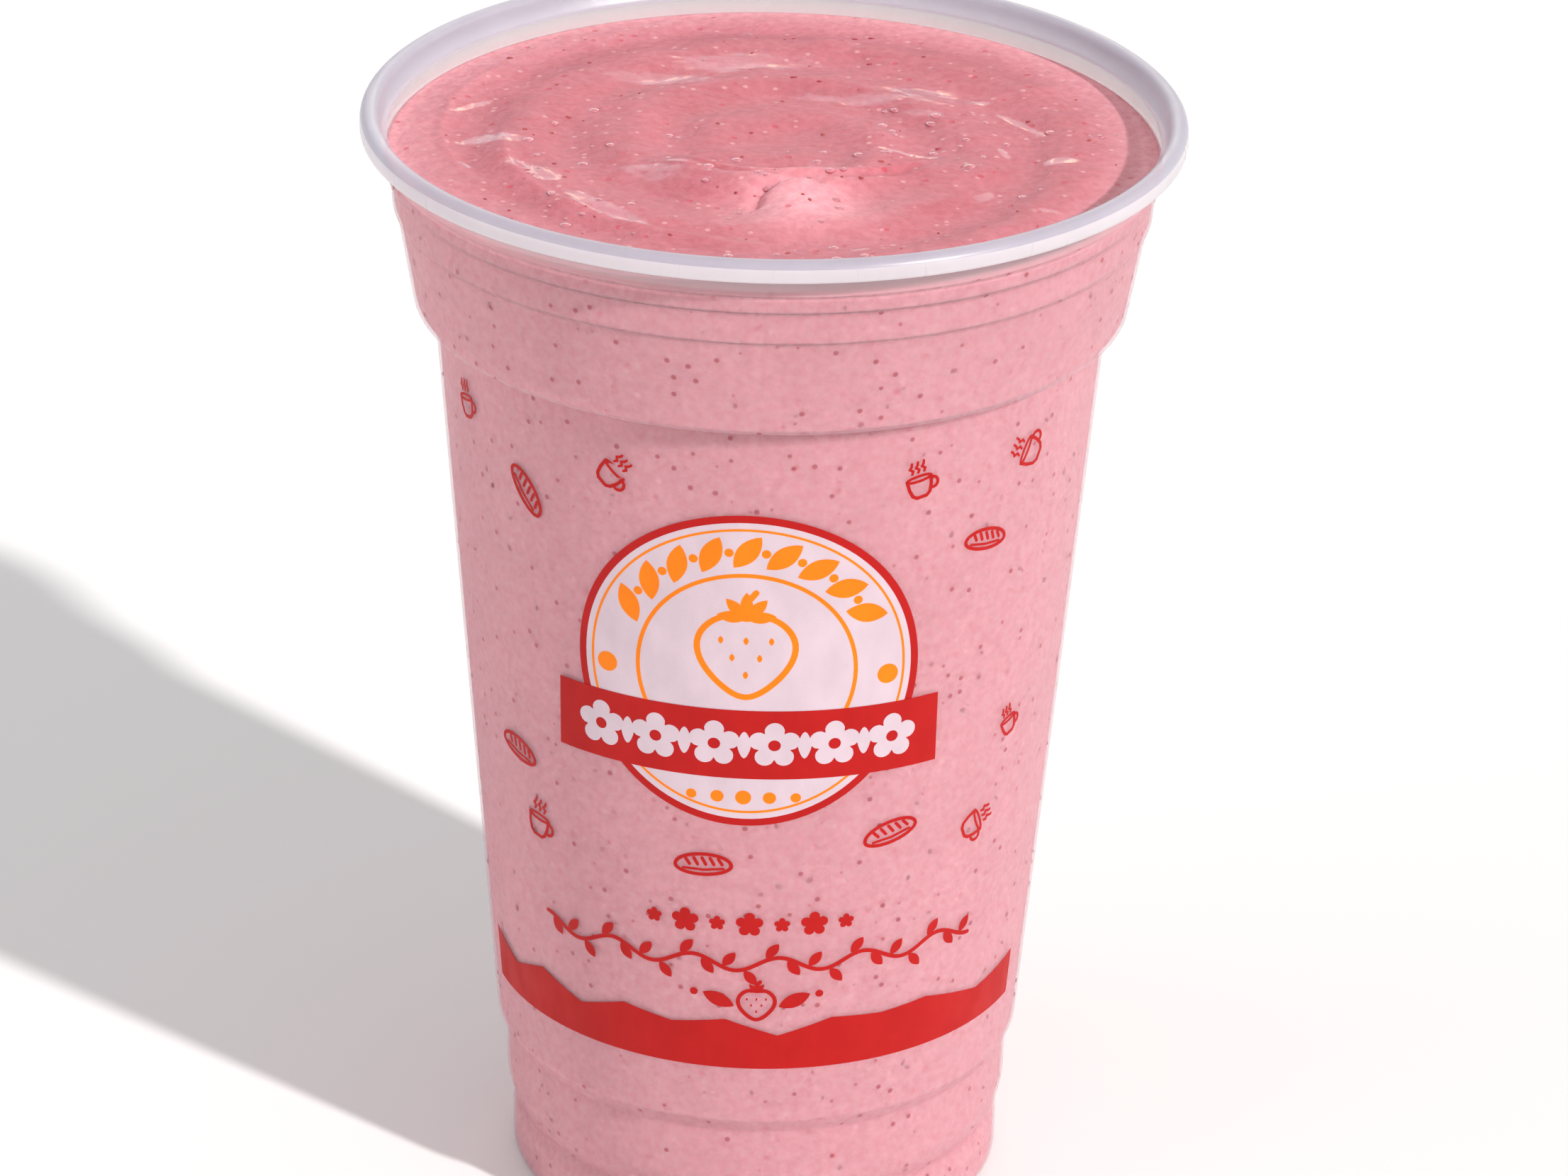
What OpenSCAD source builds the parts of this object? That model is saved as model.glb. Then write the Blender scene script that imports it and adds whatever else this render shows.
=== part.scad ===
// Strawberry smoothie in a thin-walled, translucent takeaway cup.
// Millimetres, +Z up, the origin on the table under the middle of the cup.
// The printed front of the cup faces -Y.

/* [Cup] */
// Height of the cup, from the table to the top of the rim
cup_height = 139.5; // [110:0.5:180]
// Outside radius of the rim
rim_radius = 49; // [40:0.5:60]
// Thickness of the wall
wall = 0.8; // [0.6:0.05:1.2]
// Thickness of the floor
floor_thickness = 0.8; // [0.6:0.05:1.5]

/* [Rim] */
// Height of the rim's outer face, roll included
rim_height = 2.5; // [2.4:0.1:4]
// Radius of the roll from the crest to the outer face
rim_roll = 1.3; // [0.8:0.1:1.7]
// Radius of the roll from the crest to the inside
lip_roll = 0.9; // [0.4:0.1:1.4]
// How far the rim stands out past the wall below it
rim_overhang = 2.4; // [2:0.1:4]
// Radius of the round at the rim's lower outer edge
rim_edge_round = 0.35; // [0.1:0.05:0.6]

/* [Stacking rings] */
// Height of the first ring under the rim
ring_1_height = 3.1; // [2:0.1:5]
// Height of the second ring
ring_2_height = 2.2; // [1.5:0.1:4]
// Height of the third ring
ring_3_height = 4; // [1.5:0.1:5]
// Step inwards at the foot of each ring
ring_step = 0.45; // [0.1:0.05:0.6]
// Radius that the rings lose for each millimetre down
ring_taper = 0.055; // [0.03:0.005:0.2]

/* [Collar] */
// Height of the plain collar below the rings
collar_height = 11.8; // [6:0.1:16]
// Radius that the collar loses from top to bottom
collar_taper = 2; // [1:0.1:3]
// Height of the sloping shoulder below the collar
shoulder_height = 0.8; // [0.5:0.1:5]
// Radius lost over the shoulder
shoulder_inset = 2.4; // [1:0.1:3]

/* [Body] */
// Radius that the body loses from the shoulder to the heel
body_taper = 7.7; // [4:0.1:10]
// Height of the sloping step below the body
heel_step_height = 2.1; // [1:0.1:4]
// Radius lost over that step
heel_inset = 1.2; // [0.6:0.1:2]
// Height of the straight heel
heel_height = 6.1; // [4:0.1:10]

/* [Foot] */
// Height of the curve from the heel in to the neck
neck_height = 4.7; // [3:0.1:6]
// Radius lost from the heel to the neck
neck_inset = 1.5; // [0.8:0.1:2]
// Height of the foot ring, from the table to the neck
foot_height = 7.3; // [5:0.1:10]
// How far the foot ring stands out past the neck
foot_bulge = 0.7; // [0.3:0.1:1.2]
// Height of the slope from the neck out to the foot ring
foot_slope = 2; // [1:0.1:2.5]
// Radius of the round at the foot ring's lower edge
foot_round = 1.3; // [0.9:0.1:1.8]
// Radius of the round inside the foot ring
foot_fillet = 0.8; // [0.3:0.1:0.8]
// Width of the flat ring that the cup stands on
foot_land = 1.6; // [1.2:0.1:3]
// Height of the hollow under the floor
base_hollow = 1.8; // [1:0.1:3]

/* [Drink] */
// Depth of the drink's surface at the wall, below the top of the rim
fill_depth = 5; // [4:0.1:12]
// Gap between the drink and the cup
fill_gap = 0.05; // [0.02:0.01:0.1]
// Height of the low swirl left by pouring
swirl_height = 0.5; // [0.2:0.05:1]
// Distance from one turn of the swirl to the next
swirl_pitch = 12; // [8:0.5:20]
// Height of the peak
peak_height = 1.6; // [0.5:0.1:3]
// Radius of the peak
peak_radius = 4.6; // [3:0.1:8]
// Distance of the peak from the middle
peak_distance = 20.5; // [10:0.5:28]
// Direction of the peak, counted from +X towards +Y
peak_angle = -81; // [-180:1:180]
// Height of the folds in the surface
fold_height = 0.8; // [0.3:0.1:2]
// Width of a fold
fold_width = 2.6; // [2:0.1:5]

/* [Hidden] */
$fn = 144;

CUP_COLOR = [0.91, 0.9, 0.92, 0.55];
DRINK_COLOR = [0.92, 0.62, 0.66];

ARC_STEPS = 6;              // straight pieces in a rounded corner
CAP_SPOKES = 72;            // points round the drink's relief
CAP_RINGS = 20;             // rings of points from the middle to the edge
CAP_ROOT = 2;               // depth of the relief's root inside the drink
CAP_MARGIN = 1;             // flat ring left between the relief and the wall
CAP_LIFT = 0.05;            // least height of the relief over the flat ring
EDGE_FADE = 7;              // width over which the relief dies out at its edge
FOLD_FADE = 25;             // degrees over which a fold runs out at each end

// Folds that lie round the middle: radius, first angle, last angle, share of the height
ROUND_FOLDS = [
    [32.3, -165, -108, 1],
    [20.5, 35, 92, 0.3],
    [28.5, 60, 140, 0.3],
];
// The fold behind the peak curves the other way: the middle of its arc, its radius and angles
BACK_FOLD_CENTRE = [3.5, 6];
BACK_FOLD = [19, -128, -52, 0.9];

// Rings under the rim
RING_HEIGHTS = [ring_1_height, ring_2_height, ring_3_height];
RINGS = len(RING_HEIGHTS);

// Radii, from the rim down
ring_top_radius = rim_radius - rim_overhang;
rings_height = sum_to(RING_HEIGHTS, RINGS);
collar_top_radius = ring_top_radius - ring_taper * rings_height - ring_step * RINGS;
shoulder_top_radius = collar_top_radius - collar_taper;
body_top_radius = shoulder_top_radius - shoulder_inset;
body_foot_radius = body_top_radius - body_taper;
heel_radius = body_foot_radius - heel_inset;
neck_radius = heel_radius - neck_inset;
foot_radius = neck_radius + foot_bulge;
land_radius = foot_radius - foot_round - foot_land;
hollow_radius = land_radius - base_hollow;

// Levels, from the rim down
rings_top = cup_height - rim_height;
collar_top = rings_top - rings_height;
shoulder_top = collar_top - collar_height;
body_top = shoulder_top - shoulder_height;

// Levels, from the table up
heel_bottom = foot_height + neck_height;
heel_top = heel_bottom + heel_height;
body_foot = heel_top + heel_step_height;
floor_top = base_hollow + floor_thickness;

// Sum of the first n numbers of a list
function sum_to(list, n) = n == 0 ? 0 : list[n - 1] + sum_to(list, n - 1);

// Points on an arc about centre, from one angle to another
function arc(centre, radius, from, to) =
    [for (i = [0 : ARC_STEPS]) let (a = from + (to - from) * i / ARC_STEPS)
        centre + radius * [cos(a), sin(a)]];

// Outer radius at the top of a ring, and the two points at its foot
function ring_radius(i) =
    ring_top_radius - ring_taper * sum_to(RING_HEIGHTS, i) - ring_step * i;
function ring_points(i) =
    let (foot = rings_top - sum_to(RING_HEIGHTS, i + 1),
         radius = ring_radius(i) - ring_taper * (RING_HEIGHTS[i] - ring_step))
        [[radius, foot + ring_step], [radius - ring_step, foot]];

// Curve from the straight heel in to the neck
function neck_points() =
    [for (i = [1 : ARC_STEPS]) let (t = i / ARC_STEPS)
        [heel_radius - neck_inset * t * t, heel_bottom - neck_height * t]];

// Outside of the wall from just below the rim down to the foot ring, as [radius, height]
WALL_OUTLINE = concat(
    [[ring_top_radius, rings_top]],
    [for (i = [0 : RINGS - 1]) each ring_points(i)],
    [[shoulder_top_radius, shoulder_top],
     [body_top_radius, body_top],
     [body_foot_radius, body_foot],
     [heel_radius, heel_top],
     [heel_radius, heel_bottom]],
    neck_points(),
    [[foot_radius, foot_height - foot_slope]]);
FOOT_CORNER = arc([foot_radius - foot_round, foot_round], foot_round, -90, 0);

// Inside of the wall, from the foot up: the outline moved in by the wall's thickness, and the
// shoulder also moved up, so that the wall keeps that thickness where it runs almost level
shoulder_lift = wall * (norm([shoulder_inset, shoulder_height]) - shoulder_height)
    / shoulder_inset;
function bore_point(p) =
    p - [wall, p[1] == shoulder_top || p[1] == body_top ? -shoulder_lift : 0];
BORE_OUTLINE = [for (i = [len(WALL_OUTLINE) - 1 : -1 : 0]) bore_point(WALL_OUTLINE[i])];

// Inner radius of the wall at a height
function bore_radius(height) = lookup(height, [for (p = BORE_OUTLINE) [p[1], p[0]]]);

// The drink: its level at the wall, the edge of its relief and the middle of its peak
fill_level = cup_height - fill_depth;
cap_radius = bore_radius(fill_level) - fill_gap - CAP_MARGIN;
peak_centre = peak_distance * [cos(peak_angle), sin(peak_angle)];

// Upper side of the floor, from the middle out to the wall, with a gap left over it
function floor_outline(gap) =
    let (fillet_centre = [foot_radius - wall - foot_fillet, floor_thickness + foot_fillet])
        concat(
            [[0, floor_top + gap],
             [hollow_radius, floor_top + gap],
             [land_radius, floor_thickness + gap]],
            arc(fillet_centre, foot_fillet - gap, -90, 0));

// Rim: its lower edge, outer face, crest and lip, from outside to inside
RIM_OUTLINE = concat(
    arc([rim_radius - rim_edge_round, rings_top + rim_edge_round], rim_edge_round, -90, 0),
    arc([rim_radius - rim_roll, cup_height - rim_roll], rim_roll, 0, 90),
    arc([rim_radius - rim_roll, cup_height - lip_roll], lip_roll, 90, 180));

function reversed(list) = [for (i = [len(list) - 1 : -1 : 0]) list[i]];

// A wall that is one closed outline turned round the centre line
module cup() {
    color(CUP_COLOR)
        rotate_extrude()
            polygon(concat(
                [[0, base_hollow],
                 [hollow_radius, base_hollow],
                 [land_radius, 0]],
                FOOT_CORNER,
                reversed(WALL_OUTLINE),
                RIM_OUTLINE,
                reversed(BORE_OUTLINE),
                reversed(floor_outline(0))));
}

// A wave that winds out from the middle, from 0 to 1
function swirl(radius, angle) =
    min(1, radius / swirl_pitch) * (1 + cos(360 * radius / swirl_pitch + angle)) / 2;

// 1 between two angles, running out smoothly before and after them
function run_out(angle, from, to) =
    let (middle = (from + to) / 2,
         turn = (angle - middle) - 360 * round((angle - middle) / 360),
         past = max(0, abs(turn) - (to - from) / 2))
        past >= FOLD_FADE ? 0 : (1 + cos(180 * past / FOLD_FADE)) / 2;

// Height of a fold that lies along an arc: fold is [radius, from, to, share of the height]
function fold(point, centre, fold) =
    let (away = point - centre)
        fold_height * fold[3] * run_out(atan2(away[1], away[0]), fold[1], fold[2])
            * exp(-pow((norm(away) - fold[0]) / fold_width, 2));

function round_folds(point, i = 0) =
    i == len(ROUND_FOLDS) ? 0 : fold(point, [0, 0], ROUND_FOLDS[i]) + round_folds(point, i + 1);

function peak(point) = peak_height * exp(-pow(norm(point - peak_centre) / peak_radius, 2));

// Height of the relief over the flat ring at the wall
function relief(radius, angle) =
    let (point = radius * [cos(angle), sin(angle)],
         fade = min(1, (cap_radius - radius) / EDGE_FADE))
        CAP_LIFT + fade * (swirl_height * swirl(radius, angle) + peak(point)
            + round_folds(point) + fold(point, BACK_FOLD_CENTRE, BACK_FOLD));

// The relief as one closed body whose root stands inside the drink
module relief_cap() {
    function spoke(i) = 360 * i / CAP_SPOKES;
    function ring(radius, heights) =
        [for (i = [0 : CAP_SPOKES - 1])
            [radius * cos(spoke(i)), radius * sin(spoke(i)), heights[i]]];
    function level_ring(radius, height) = ring(radius, [for (i = [0 : CAP_SPOKES - 1]) height]);
    function relief_ring(radius) =
        ring(radius, [for (i = [0 : CAP_SPOKES - 1]) fill_level + relief(radius, spoke(i))]);
    function band(first, second) =
        [for (i = [0 : CAP_SPOKES - 1]) let (j = (i + 1) % CAP_SPOKES)
            each [[first + i, first + j, second + j], [first + i, second + j, second + i]]];
    inner_radius = cap_radius - CAP_MARGIN;
    rows = CAP_RINGS + 2;
    last = rows * CAP_SPOKES;
    points = concat(
        [for (k = [1 : CAP_RINGS]) each relief_ring(inner_radius * k / CAP_RINGS)],
        level_ring(cap_radius, fill_level - CAP_MARGIN),
        level_ring(inner_radius, fill_level - CAP_ROOT),
        [[0, 0, fill_level + relief(0, 0)]]);
    faces = concat(
        [for (i = [0 : CAP_SPOKES - 1]) [last, (i + 1) % CAP_SPOKES, i]],
        [for (k = [0 : rows - 2]) each band(k * CAP_SPOKES, (k + 1) * CAP_SPOKES)],
        [[for (i = [0 : CAP_SPOKES - 1]) (rows - 1) * CAP_SPOKES + i]]);
    polyhedron(points = points, faces = faces);
}

// The drink fills the cup up to its level, and the relief stands on it
module smoothie() {
    bore = [for (p = BORE_OUTLINE) if (p[1] < fill_level) p - [fill_gap, 0]];
    color(DRINK_COLOR)
        union() {
            rotate_extrude()
                polygon(concat(
                    floor_outline(fill_gap),
                    bore,
                    [[bore_radius(fill_level) - fill_gap, fill_level],
                     [0, fill_level]]));
            relief_cap();
        }
}

cup();
smoothie();
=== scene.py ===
"""Looks of a strawberry smoothie in a thin, translucent takeaway cup.

Everything is in metres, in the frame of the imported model: +Z up, the origin on the table
under the middle of the cup, and the printed front towards -Y.
"""

import math
import random

import bmesh
import bpy
import numpy as np
from bpy.props import FloatProperty, FloatVectorProperty, IntProperty, PointerProperty
from bpy.types import Operator, Panel, PropertyGroup
from mathutils import Matrix, Vector


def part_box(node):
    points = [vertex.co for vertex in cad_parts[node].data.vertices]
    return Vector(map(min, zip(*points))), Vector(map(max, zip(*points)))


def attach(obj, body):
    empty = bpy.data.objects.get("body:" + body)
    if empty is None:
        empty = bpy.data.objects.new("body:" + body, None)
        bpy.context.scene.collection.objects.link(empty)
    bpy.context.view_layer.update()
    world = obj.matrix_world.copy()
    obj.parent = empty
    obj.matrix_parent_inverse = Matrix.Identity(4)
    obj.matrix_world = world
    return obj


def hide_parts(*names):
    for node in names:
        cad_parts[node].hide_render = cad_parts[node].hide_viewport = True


bl_info = {
    "name": "Strawberry Smoothie Cup",
    "version": (1, 0, 0),
    "blender": (4, 5, 0),
    "location": "3D View > Sidebar > Smoothie",
    "description": "Builds a takeaway cup of strawberry smoothie round its packed frame",
    "category": "Add Mesh",
}

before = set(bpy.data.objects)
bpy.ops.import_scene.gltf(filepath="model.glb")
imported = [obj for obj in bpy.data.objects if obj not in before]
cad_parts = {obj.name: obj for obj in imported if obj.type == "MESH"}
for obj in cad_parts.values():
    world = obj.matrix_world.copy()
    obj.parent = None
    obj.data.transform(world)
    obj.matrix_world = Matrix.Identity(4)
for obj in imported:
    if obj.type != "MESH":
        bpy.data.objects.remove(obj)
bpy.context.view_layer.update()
CUP_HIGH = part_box("cup")[1]

MM = 0.001
TURN = 2 * math.pi

# How finely the round pieces are made
CUP_SEGMENTS = 192
CORNER_STEPS = 5
CORNER_HOLD = 0.25 * MM     # distance past a rounded corner at which the long face is flat again
DRINK_SEGMENTS = 312
DRINK_ROWS = 140            # rows of points from the drink's edge to its middle
EDGE_ROWS = 6               # extra rows in the rise at the wall
SIDE_STEP = 2.5 * MM        # height of a row on the drink's side

# Roundness of the wall's corners
RING_CORNER = 0.8 * MM
SHOULDER_CORNER = 0.9 * MM
BODY_CORNER = 0.5 * MM
HEEL_CORNER = 0.9 * MM
FOOT_CORNER = 0.7 * MM
NECK_STEPS = 6

# Folds in the drink that lie round a middle: centre x and y in millimetres, radius, first and
# last angle in degrees, share of the fold's height, width inside and outside of the crest
FOLDS = [
    (0, 0, 32.3, -165, -108, 1.0, 1.1, 3.4),
    (0, 0, 20.5, 35, 92, 0.3, 2.6, 1.6),
    (0, 0, 28.5, 60, 140, 0.3, 2.8, 1.6),
    (3.5, 6, 19, -128, -52, 1.7, 0.7, 4.6),
    (3.5, 6, 20.1, -122, -56, -0.5, 0.45, 0.6),
    (3.3, -20.2, 5.2, 70, 175, -0.9, 0.7, 1.0),
    (-3, 4, 36.5, 158, 196, 0.28, 0.8, 0.8),
    (2, -6, 31, -28, 12, 0.1, 1.2, 1.4),
]

# Ripples all over the drink: share of the ripples' height, seed, shortest and longest wave in
# millimetres, and how many waves add up
RIPPLES = [(1, 3, 5, 14, 18), (0.22, 8, 1.4, 3.4, 22)]
FOLD_FADE = 25              # degrees over which a fold runs out at its ends

# Wet streaks on the drink: middle x and y, half length and half width in millimetres, angle in
# degrees, and how wet
STREAKS = [
    (-14.3, 21.1, 9, 2.3, -3, 0.9),
    (-4.3, 26.9, 11, 3.2, 6, 0.9),
    (-13, -11.9, 5.6, 1.9, -33, 1.2),
    (-3.1, -9.6, 6.5, 1.7, -33, 1.0),
    (-28, -11.3, 4.8, 1.6, -42, 1.0),
    (-19.6, -22.2, 9, 1.3, -47, 1.1),
    (-32.5, -1, 4.2, 1.7, -13, 1.0),
    (8.7, 15.8, 8, 2.2, -20, 1.0),
    (18.2, 16.6, 5, 3, -12, 1.0),
    (18, 10.1, 3, 0.8, -19, 1.0),
    (8, -11.2, 6, 0.8, 22, 0.9),
    (-36.5, 10.6, 4.1, 0.5, 46, 1.2),
    (-35.5, -0.3, 2.7, 0.45, 34, 1.1),
    (-36.3, -9.1, 1.2, 0.5, -46, 1.1),
    (-11.4, -9.7, 2.7, 0.4, -38, 1.0),
    (29.6, 8, 5.5, 0.5, -53, 1.2),
    (33.7, -4.4, 2.3, 1.1, 3, 1.3),
    (24.7, -15.5, 1.5, 0.8, 43, 1.2),
    (31.6, -20.7, 2.1, 0.45, 3, 1.1),
    (16, -2.5, 4.6, 0.4, -17, 1.0),
    (24.5, 15.4, 1.7, 0.7, -6, 1.2),
    (27.3, -2.1, 1.9, 0.6, -71, 1.1),
    (10.1, -32.7, 1.3, 0.5, 15, 1.2),
]
EDGE_FADE = 7 * MM          # distance from the wall over which the relief grows
EDGE_GLOW = 9.5 * MM        # distance from the wall over which the drink is painted paler, a painted glow of light that comes through the wall
EDGE_ROOM = 0.3 * MM        # lowest distance from the drink's top edge to the next corner
RELIEF_DEPTH = 1 * MM       # how far the relief may dip below the level it is filled to
TOP_REACH = 0.1 * MM        # how far the drink's top edge reaches into the wall
STAIN_HEIGHT = 1.5 * MM     # height of the pink stain on the wall over the drink
STAIN_SHARE = 0.45          # how pink it is at its foot
SIDE_PALENESS = 0.48            # how pale the drink's side against the wall is made, an even share of the pale pink
SPECK_ALPHA = 0.52          # the wall's alpha where a speck lies against it
CAP_LIFT = 0.05 * MM        # how far the drink stands over the level it is filled to

# Layers of the print, counted outwards from the wall
INK_THICKNESS = 0.03 * MM
INK_STEP = 0.035 * MM
WRAP_STEP = 1.2 * MM        # widest flat piece of a wrapped print
WRAP_ROW = 4 * MM


def linear(red, green, blue):
    """Scene colour of a display colour given from 0 to 255"""
    shares = [part / 255 for part in (red, green, blue)]
    return tuple(s / 12.92 if s <= 0.04045 else ((s + 0.055) / 1.055) ** 2.4 for s in shares)


class CupSizes(PropertyGroup):
    """Sizes of the cup"""

    height: FloatProperty(
        name="Height", description="From the table to the top of the rim", default=CUP_HIGH.z,
        unit="LENGTH")
    rim_radius: FloatProperty(
        name="Rim Radius", description="Outside radius of the rim", default=CUP_HIGH.x,
        unit="LENGTH")
    wall: FloatProperty(
        name="Wall", description="Thickness of the wall", default=0.8 * MM, unit="LENGTH")
    floor_thickness: FloatProperty(
        name="Floor Thickness", description="Thickness of the floor", default=0.8 * MM,
        unit="LENGTH")
    rim_height: FloatProperty(
        name="Rim Height", description="Height of the rim's outer face, roll included",
        default=2.5 * MM, unit="LENGTH")
    rim_roll: FloatProperty(
        name="Rim Roll", description="Radius of the roll from the crest to the outer face",
        default=1.3 * MM, unit="LENGTH")
    lip_roll: FloatProperty(
        name="Lip Roll", description="Radius of the roll from the crest to the inside",
        default=0.9 * MM, unit="LENGTH")
    rim_overhang: FloatProperty(
        name="Rim Overhang", description="How far the rim stands out past the wall below it",
        default=2.4 * MM, unit="LENGTH")
    rim_edge_round: FloatProperty(
        name="Rim Edge Round", description="Radius of the round at the rim's lower outer edge",
        default=0.35 * MM, unit="LENGTH")
    ring_heights: FloatVectorProperty(
        name="Ring Heights", description="Heights of the three stacking rings, from the top",
        default=(3.1 * MM, 2.2 * MM, 4 * MM), unit="LENGTH")
    ring_step: FloatProperty(
        name="Ring Step", description="Step inwards at the foot of each ring", default=0.45 * MM,
        unit="LENGTH")
    ring_taper: FloatProperty(
        name="Ring Taper", description="Radius that the rings lose for each unit of height",
        default=0.055)
    collar_height: FloatProperty(
        name="Collar Height", description="Height of the plain collar below the rings",
        default=11.8 * MM, unit="LENGTH")
    collar_taper: FloatProperty(
        name="Collar Taper", description="Radius that the collar loses from top to bottom",
        default=2 * MM, unit="LENGTH")
    shoulder_height: FloatProperty(
        name="Shoulder Height", description="Height of the step below the collar",
        default=0.8 * MM, unit="LENGTH")
    shoulder_inset: FloatProperty(
        name="Shoulder Inset", description="Radius lost over the shoulder", default=2.4 * MM,
        unit="LENGTH")
    body_taper: FloatProperty(
        name="Body Taper", description="Radius that the body loses from the shoulder to the heel",
        default=7.7 * MM, unit="LENGTH")
    heel_step_height: FloatProperty(
        name="Heel Step Height", description="Height of the sloping step below the body",
        default=2.1 * MM, unit="LENGTH")
    heel_inset: FloatProperty(
        name="Heel Inset", description="Radius lost over the heel's step", default=1.2 * MM,
        unit="LENGTH")
    heel_height: FloatProperty(
        name="Heel Height", description="Height of the straight heel", default=6.1 * MM,
        unit="LENGTH")
    neck_height: FloatProperty(
        name="Neck Height", description="Height of the curve from the heel in to the neck",
        default=4.7 * MM, unit="LENGTH")
    neck_inset: FloatProperty(
        name="Neck Inset", description="Radius lost from the heel to the neck", default=1.5 * MM,
        unit="LENGTH")
    foot_height: FloatProperty(
        name="Foot Height", description="Height of the foot ring, from the table to the neck",
        default=7.3 * MM, unit="LENGTH")
    foot_bulge: FloatProperty(
        name="Foot Bulge", description="How far the foot ring stands out past the neck",
        default=0.7 * MM, unit="LENGTH")
    foot_slope: FloatProperty(
        name="Foot Slope", description="Height of the slope from the neck out to the foot ring",
        default=2 * MM, unit="LENGTH")
    foot_round: FloatProperty(
        name="Foot Round", description="Radius of the round at the foot ring's lower edge",
        default=1.3 * MM, unit="LENGTH")
    foot_fillet: FloatProperty(
        name="Foot Fillet", description="Radius of the round inside the foot ring",
        default=0.8 * MM, unit="LENGTH")
    foot_land: FloatProperty(
        name="Foot Land", description="Width of the flat ring that the cup stands on",
        default=1.6 * MM, unit="LENGTH")
    base_hollow: FloatProperty(
        name="Base Hollow", description="Height of the hollow under the floor", default=1.8 * MM,
        unit="LENGTH")


class DrinkSizes(PropertyGroup):
    """Sizes of the drink and of what floats in it"""

    fill_depth: FloatProperty(
        name="Fill Depth",
        description="Depth of the surface at the wall, below the top of the rim", default=5 * MM,
        unit="LENGTH")
    wall_reach: FloatProperty(
        name="Wall Reach",
        description="How far the drink reaches into the wall, so that no air shows between them",
        default=0.5 * MM, unit="LENGTH")
    climb_height: FloatProperty(
        name="Climb Height", description="Rise of the surface where it clings to the wall",
        default=0.15 * MM, unit="LENGTH")
    climb_width: FloatProperty(
        name="Climb Width", description="Width over which that rise dies out", default=0.7 * MM,
        unit="LENGTH")
    swirl_height: FloatProperty(
        name="Swirl Height", description="Height of the low swirl left by pouring",
        default=0.8 * MM, unit="LENGTH")
    swirl_pitch: FloatProperty(
        name="Swirl Pitch", description="Distance from one turn of the swirl to the next",
        default=12 * MM, unit="LENGTH")
    peak_height: FloatProperty(
        name="Peak Height", description="Height of the peak", default=1.6 * MM, unit="LENGTH")
    peak_radius: FloatProperty(
        name="Peak Radius", description="Radius of the peak", default=4.6 * MM, unit="LENGTH")
    peak_distance: FloatProperty(
        name="Peak Distance", description="Distance of the peak from the middle",
        default=20.5 * MM, unit="LENGTH")
    peak_angle: FloatProperty(
        name="Peak Angle", description="Direction of the peak, counted from +X towards +Y",
        default=math.radians(-81), subtype="ANGLE")
    fold_height: FloatProperty(
        name="Fold Height", description="Height of the folds in the surface", default=0.95 * MM,
        unit="LENGTH")
    ripple_height: FloatProperty(
        name="Ripple Height", description="Height of the uneven ripples over the whole surface",
        default=0.11 * MM, unit="LENGTH")
    top_seeds: IntProperty(
        name="Top Seeds", description="Number of seeds and skin specks in the surface",
        default=100)
    side_seeds: IntProperty(
        name="Side Seeds", description="Number of seeds and skin specks against the wall",
        default=460)
    seed_length: FloatProperty(
        name="Seed Length", description="Length of the largest seed", default=0.95 * MM,
        unit="LENGTH")
    bubbles: IntProperty(
        name="Bubbles", description="Number of small bubbles on the surface", default=120)
    bubble_radius: FloatProperty(
        name="Bubble Radius", description="Radius of the largest bubble", default=0.62 * MM,
        unit="LENGTH")


class PrintSizes(PropertyGroup):
    """Sizes and places of the print; distances across are measured along the wall"""

    badge_radius: FloatProperty(
        name="Badge Radius", description="Outside radius of the round badge", default=20.9 * MM,
        unit="LENGTH")
    badge_shift: FloatProperty(
        name="Badge Shift", description="Distance of the badge's middle from the cup's front line",
        default=-2.05 * MM, unit="LENGTH")
    badge_level: FloatProperty(
        name="Badge Level", description="Height of the badge's middle over the table",
        default=83.4 * MM, unit="LENGTH")
    border_width: FloatProperty(
        name="Border Width", description="Width of the badge's red border", default=0.95 * MM,
        unit="LENGTH")
    banner_width: FloatProperty(
        name="Banner Width", description="Width of the banner across the badge", default=47.7 * MM,
        unit="LENGTH")
    banner_height: FloatProperty(
        name="Banner Height", description="Height of the banner", default=9.3 * MM, unit="LENGTH")
    banner_drop: FloatProperty(
        name="Banner Drop", description="Distance of the banner's middle below the badge's middle",
        default=9.75 * MM, unit="LENGTH")
    line_width: FloatProperty(
        name="Line Width", description="Width of a drawn line", default=0.46 * MM, unit="LENGTH")
    loaf_length: FloatProperty(
        name="Loaf Length", description="Length of a small printed loaf", default=6.2 * MM,
        unit="LENGTH")
    mug_width: FloatProperty(
        name="Mug Width", description="Width of a small printed mug, without its handle",
        default=3.1 * MM, unit="LENGTH")
    band_bottom: FloatProperty(
        name="Band Bottom", description="Height of the jagged band's lower edge over the table",
        default=28 * MM, unit="LENGTH")


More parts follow.
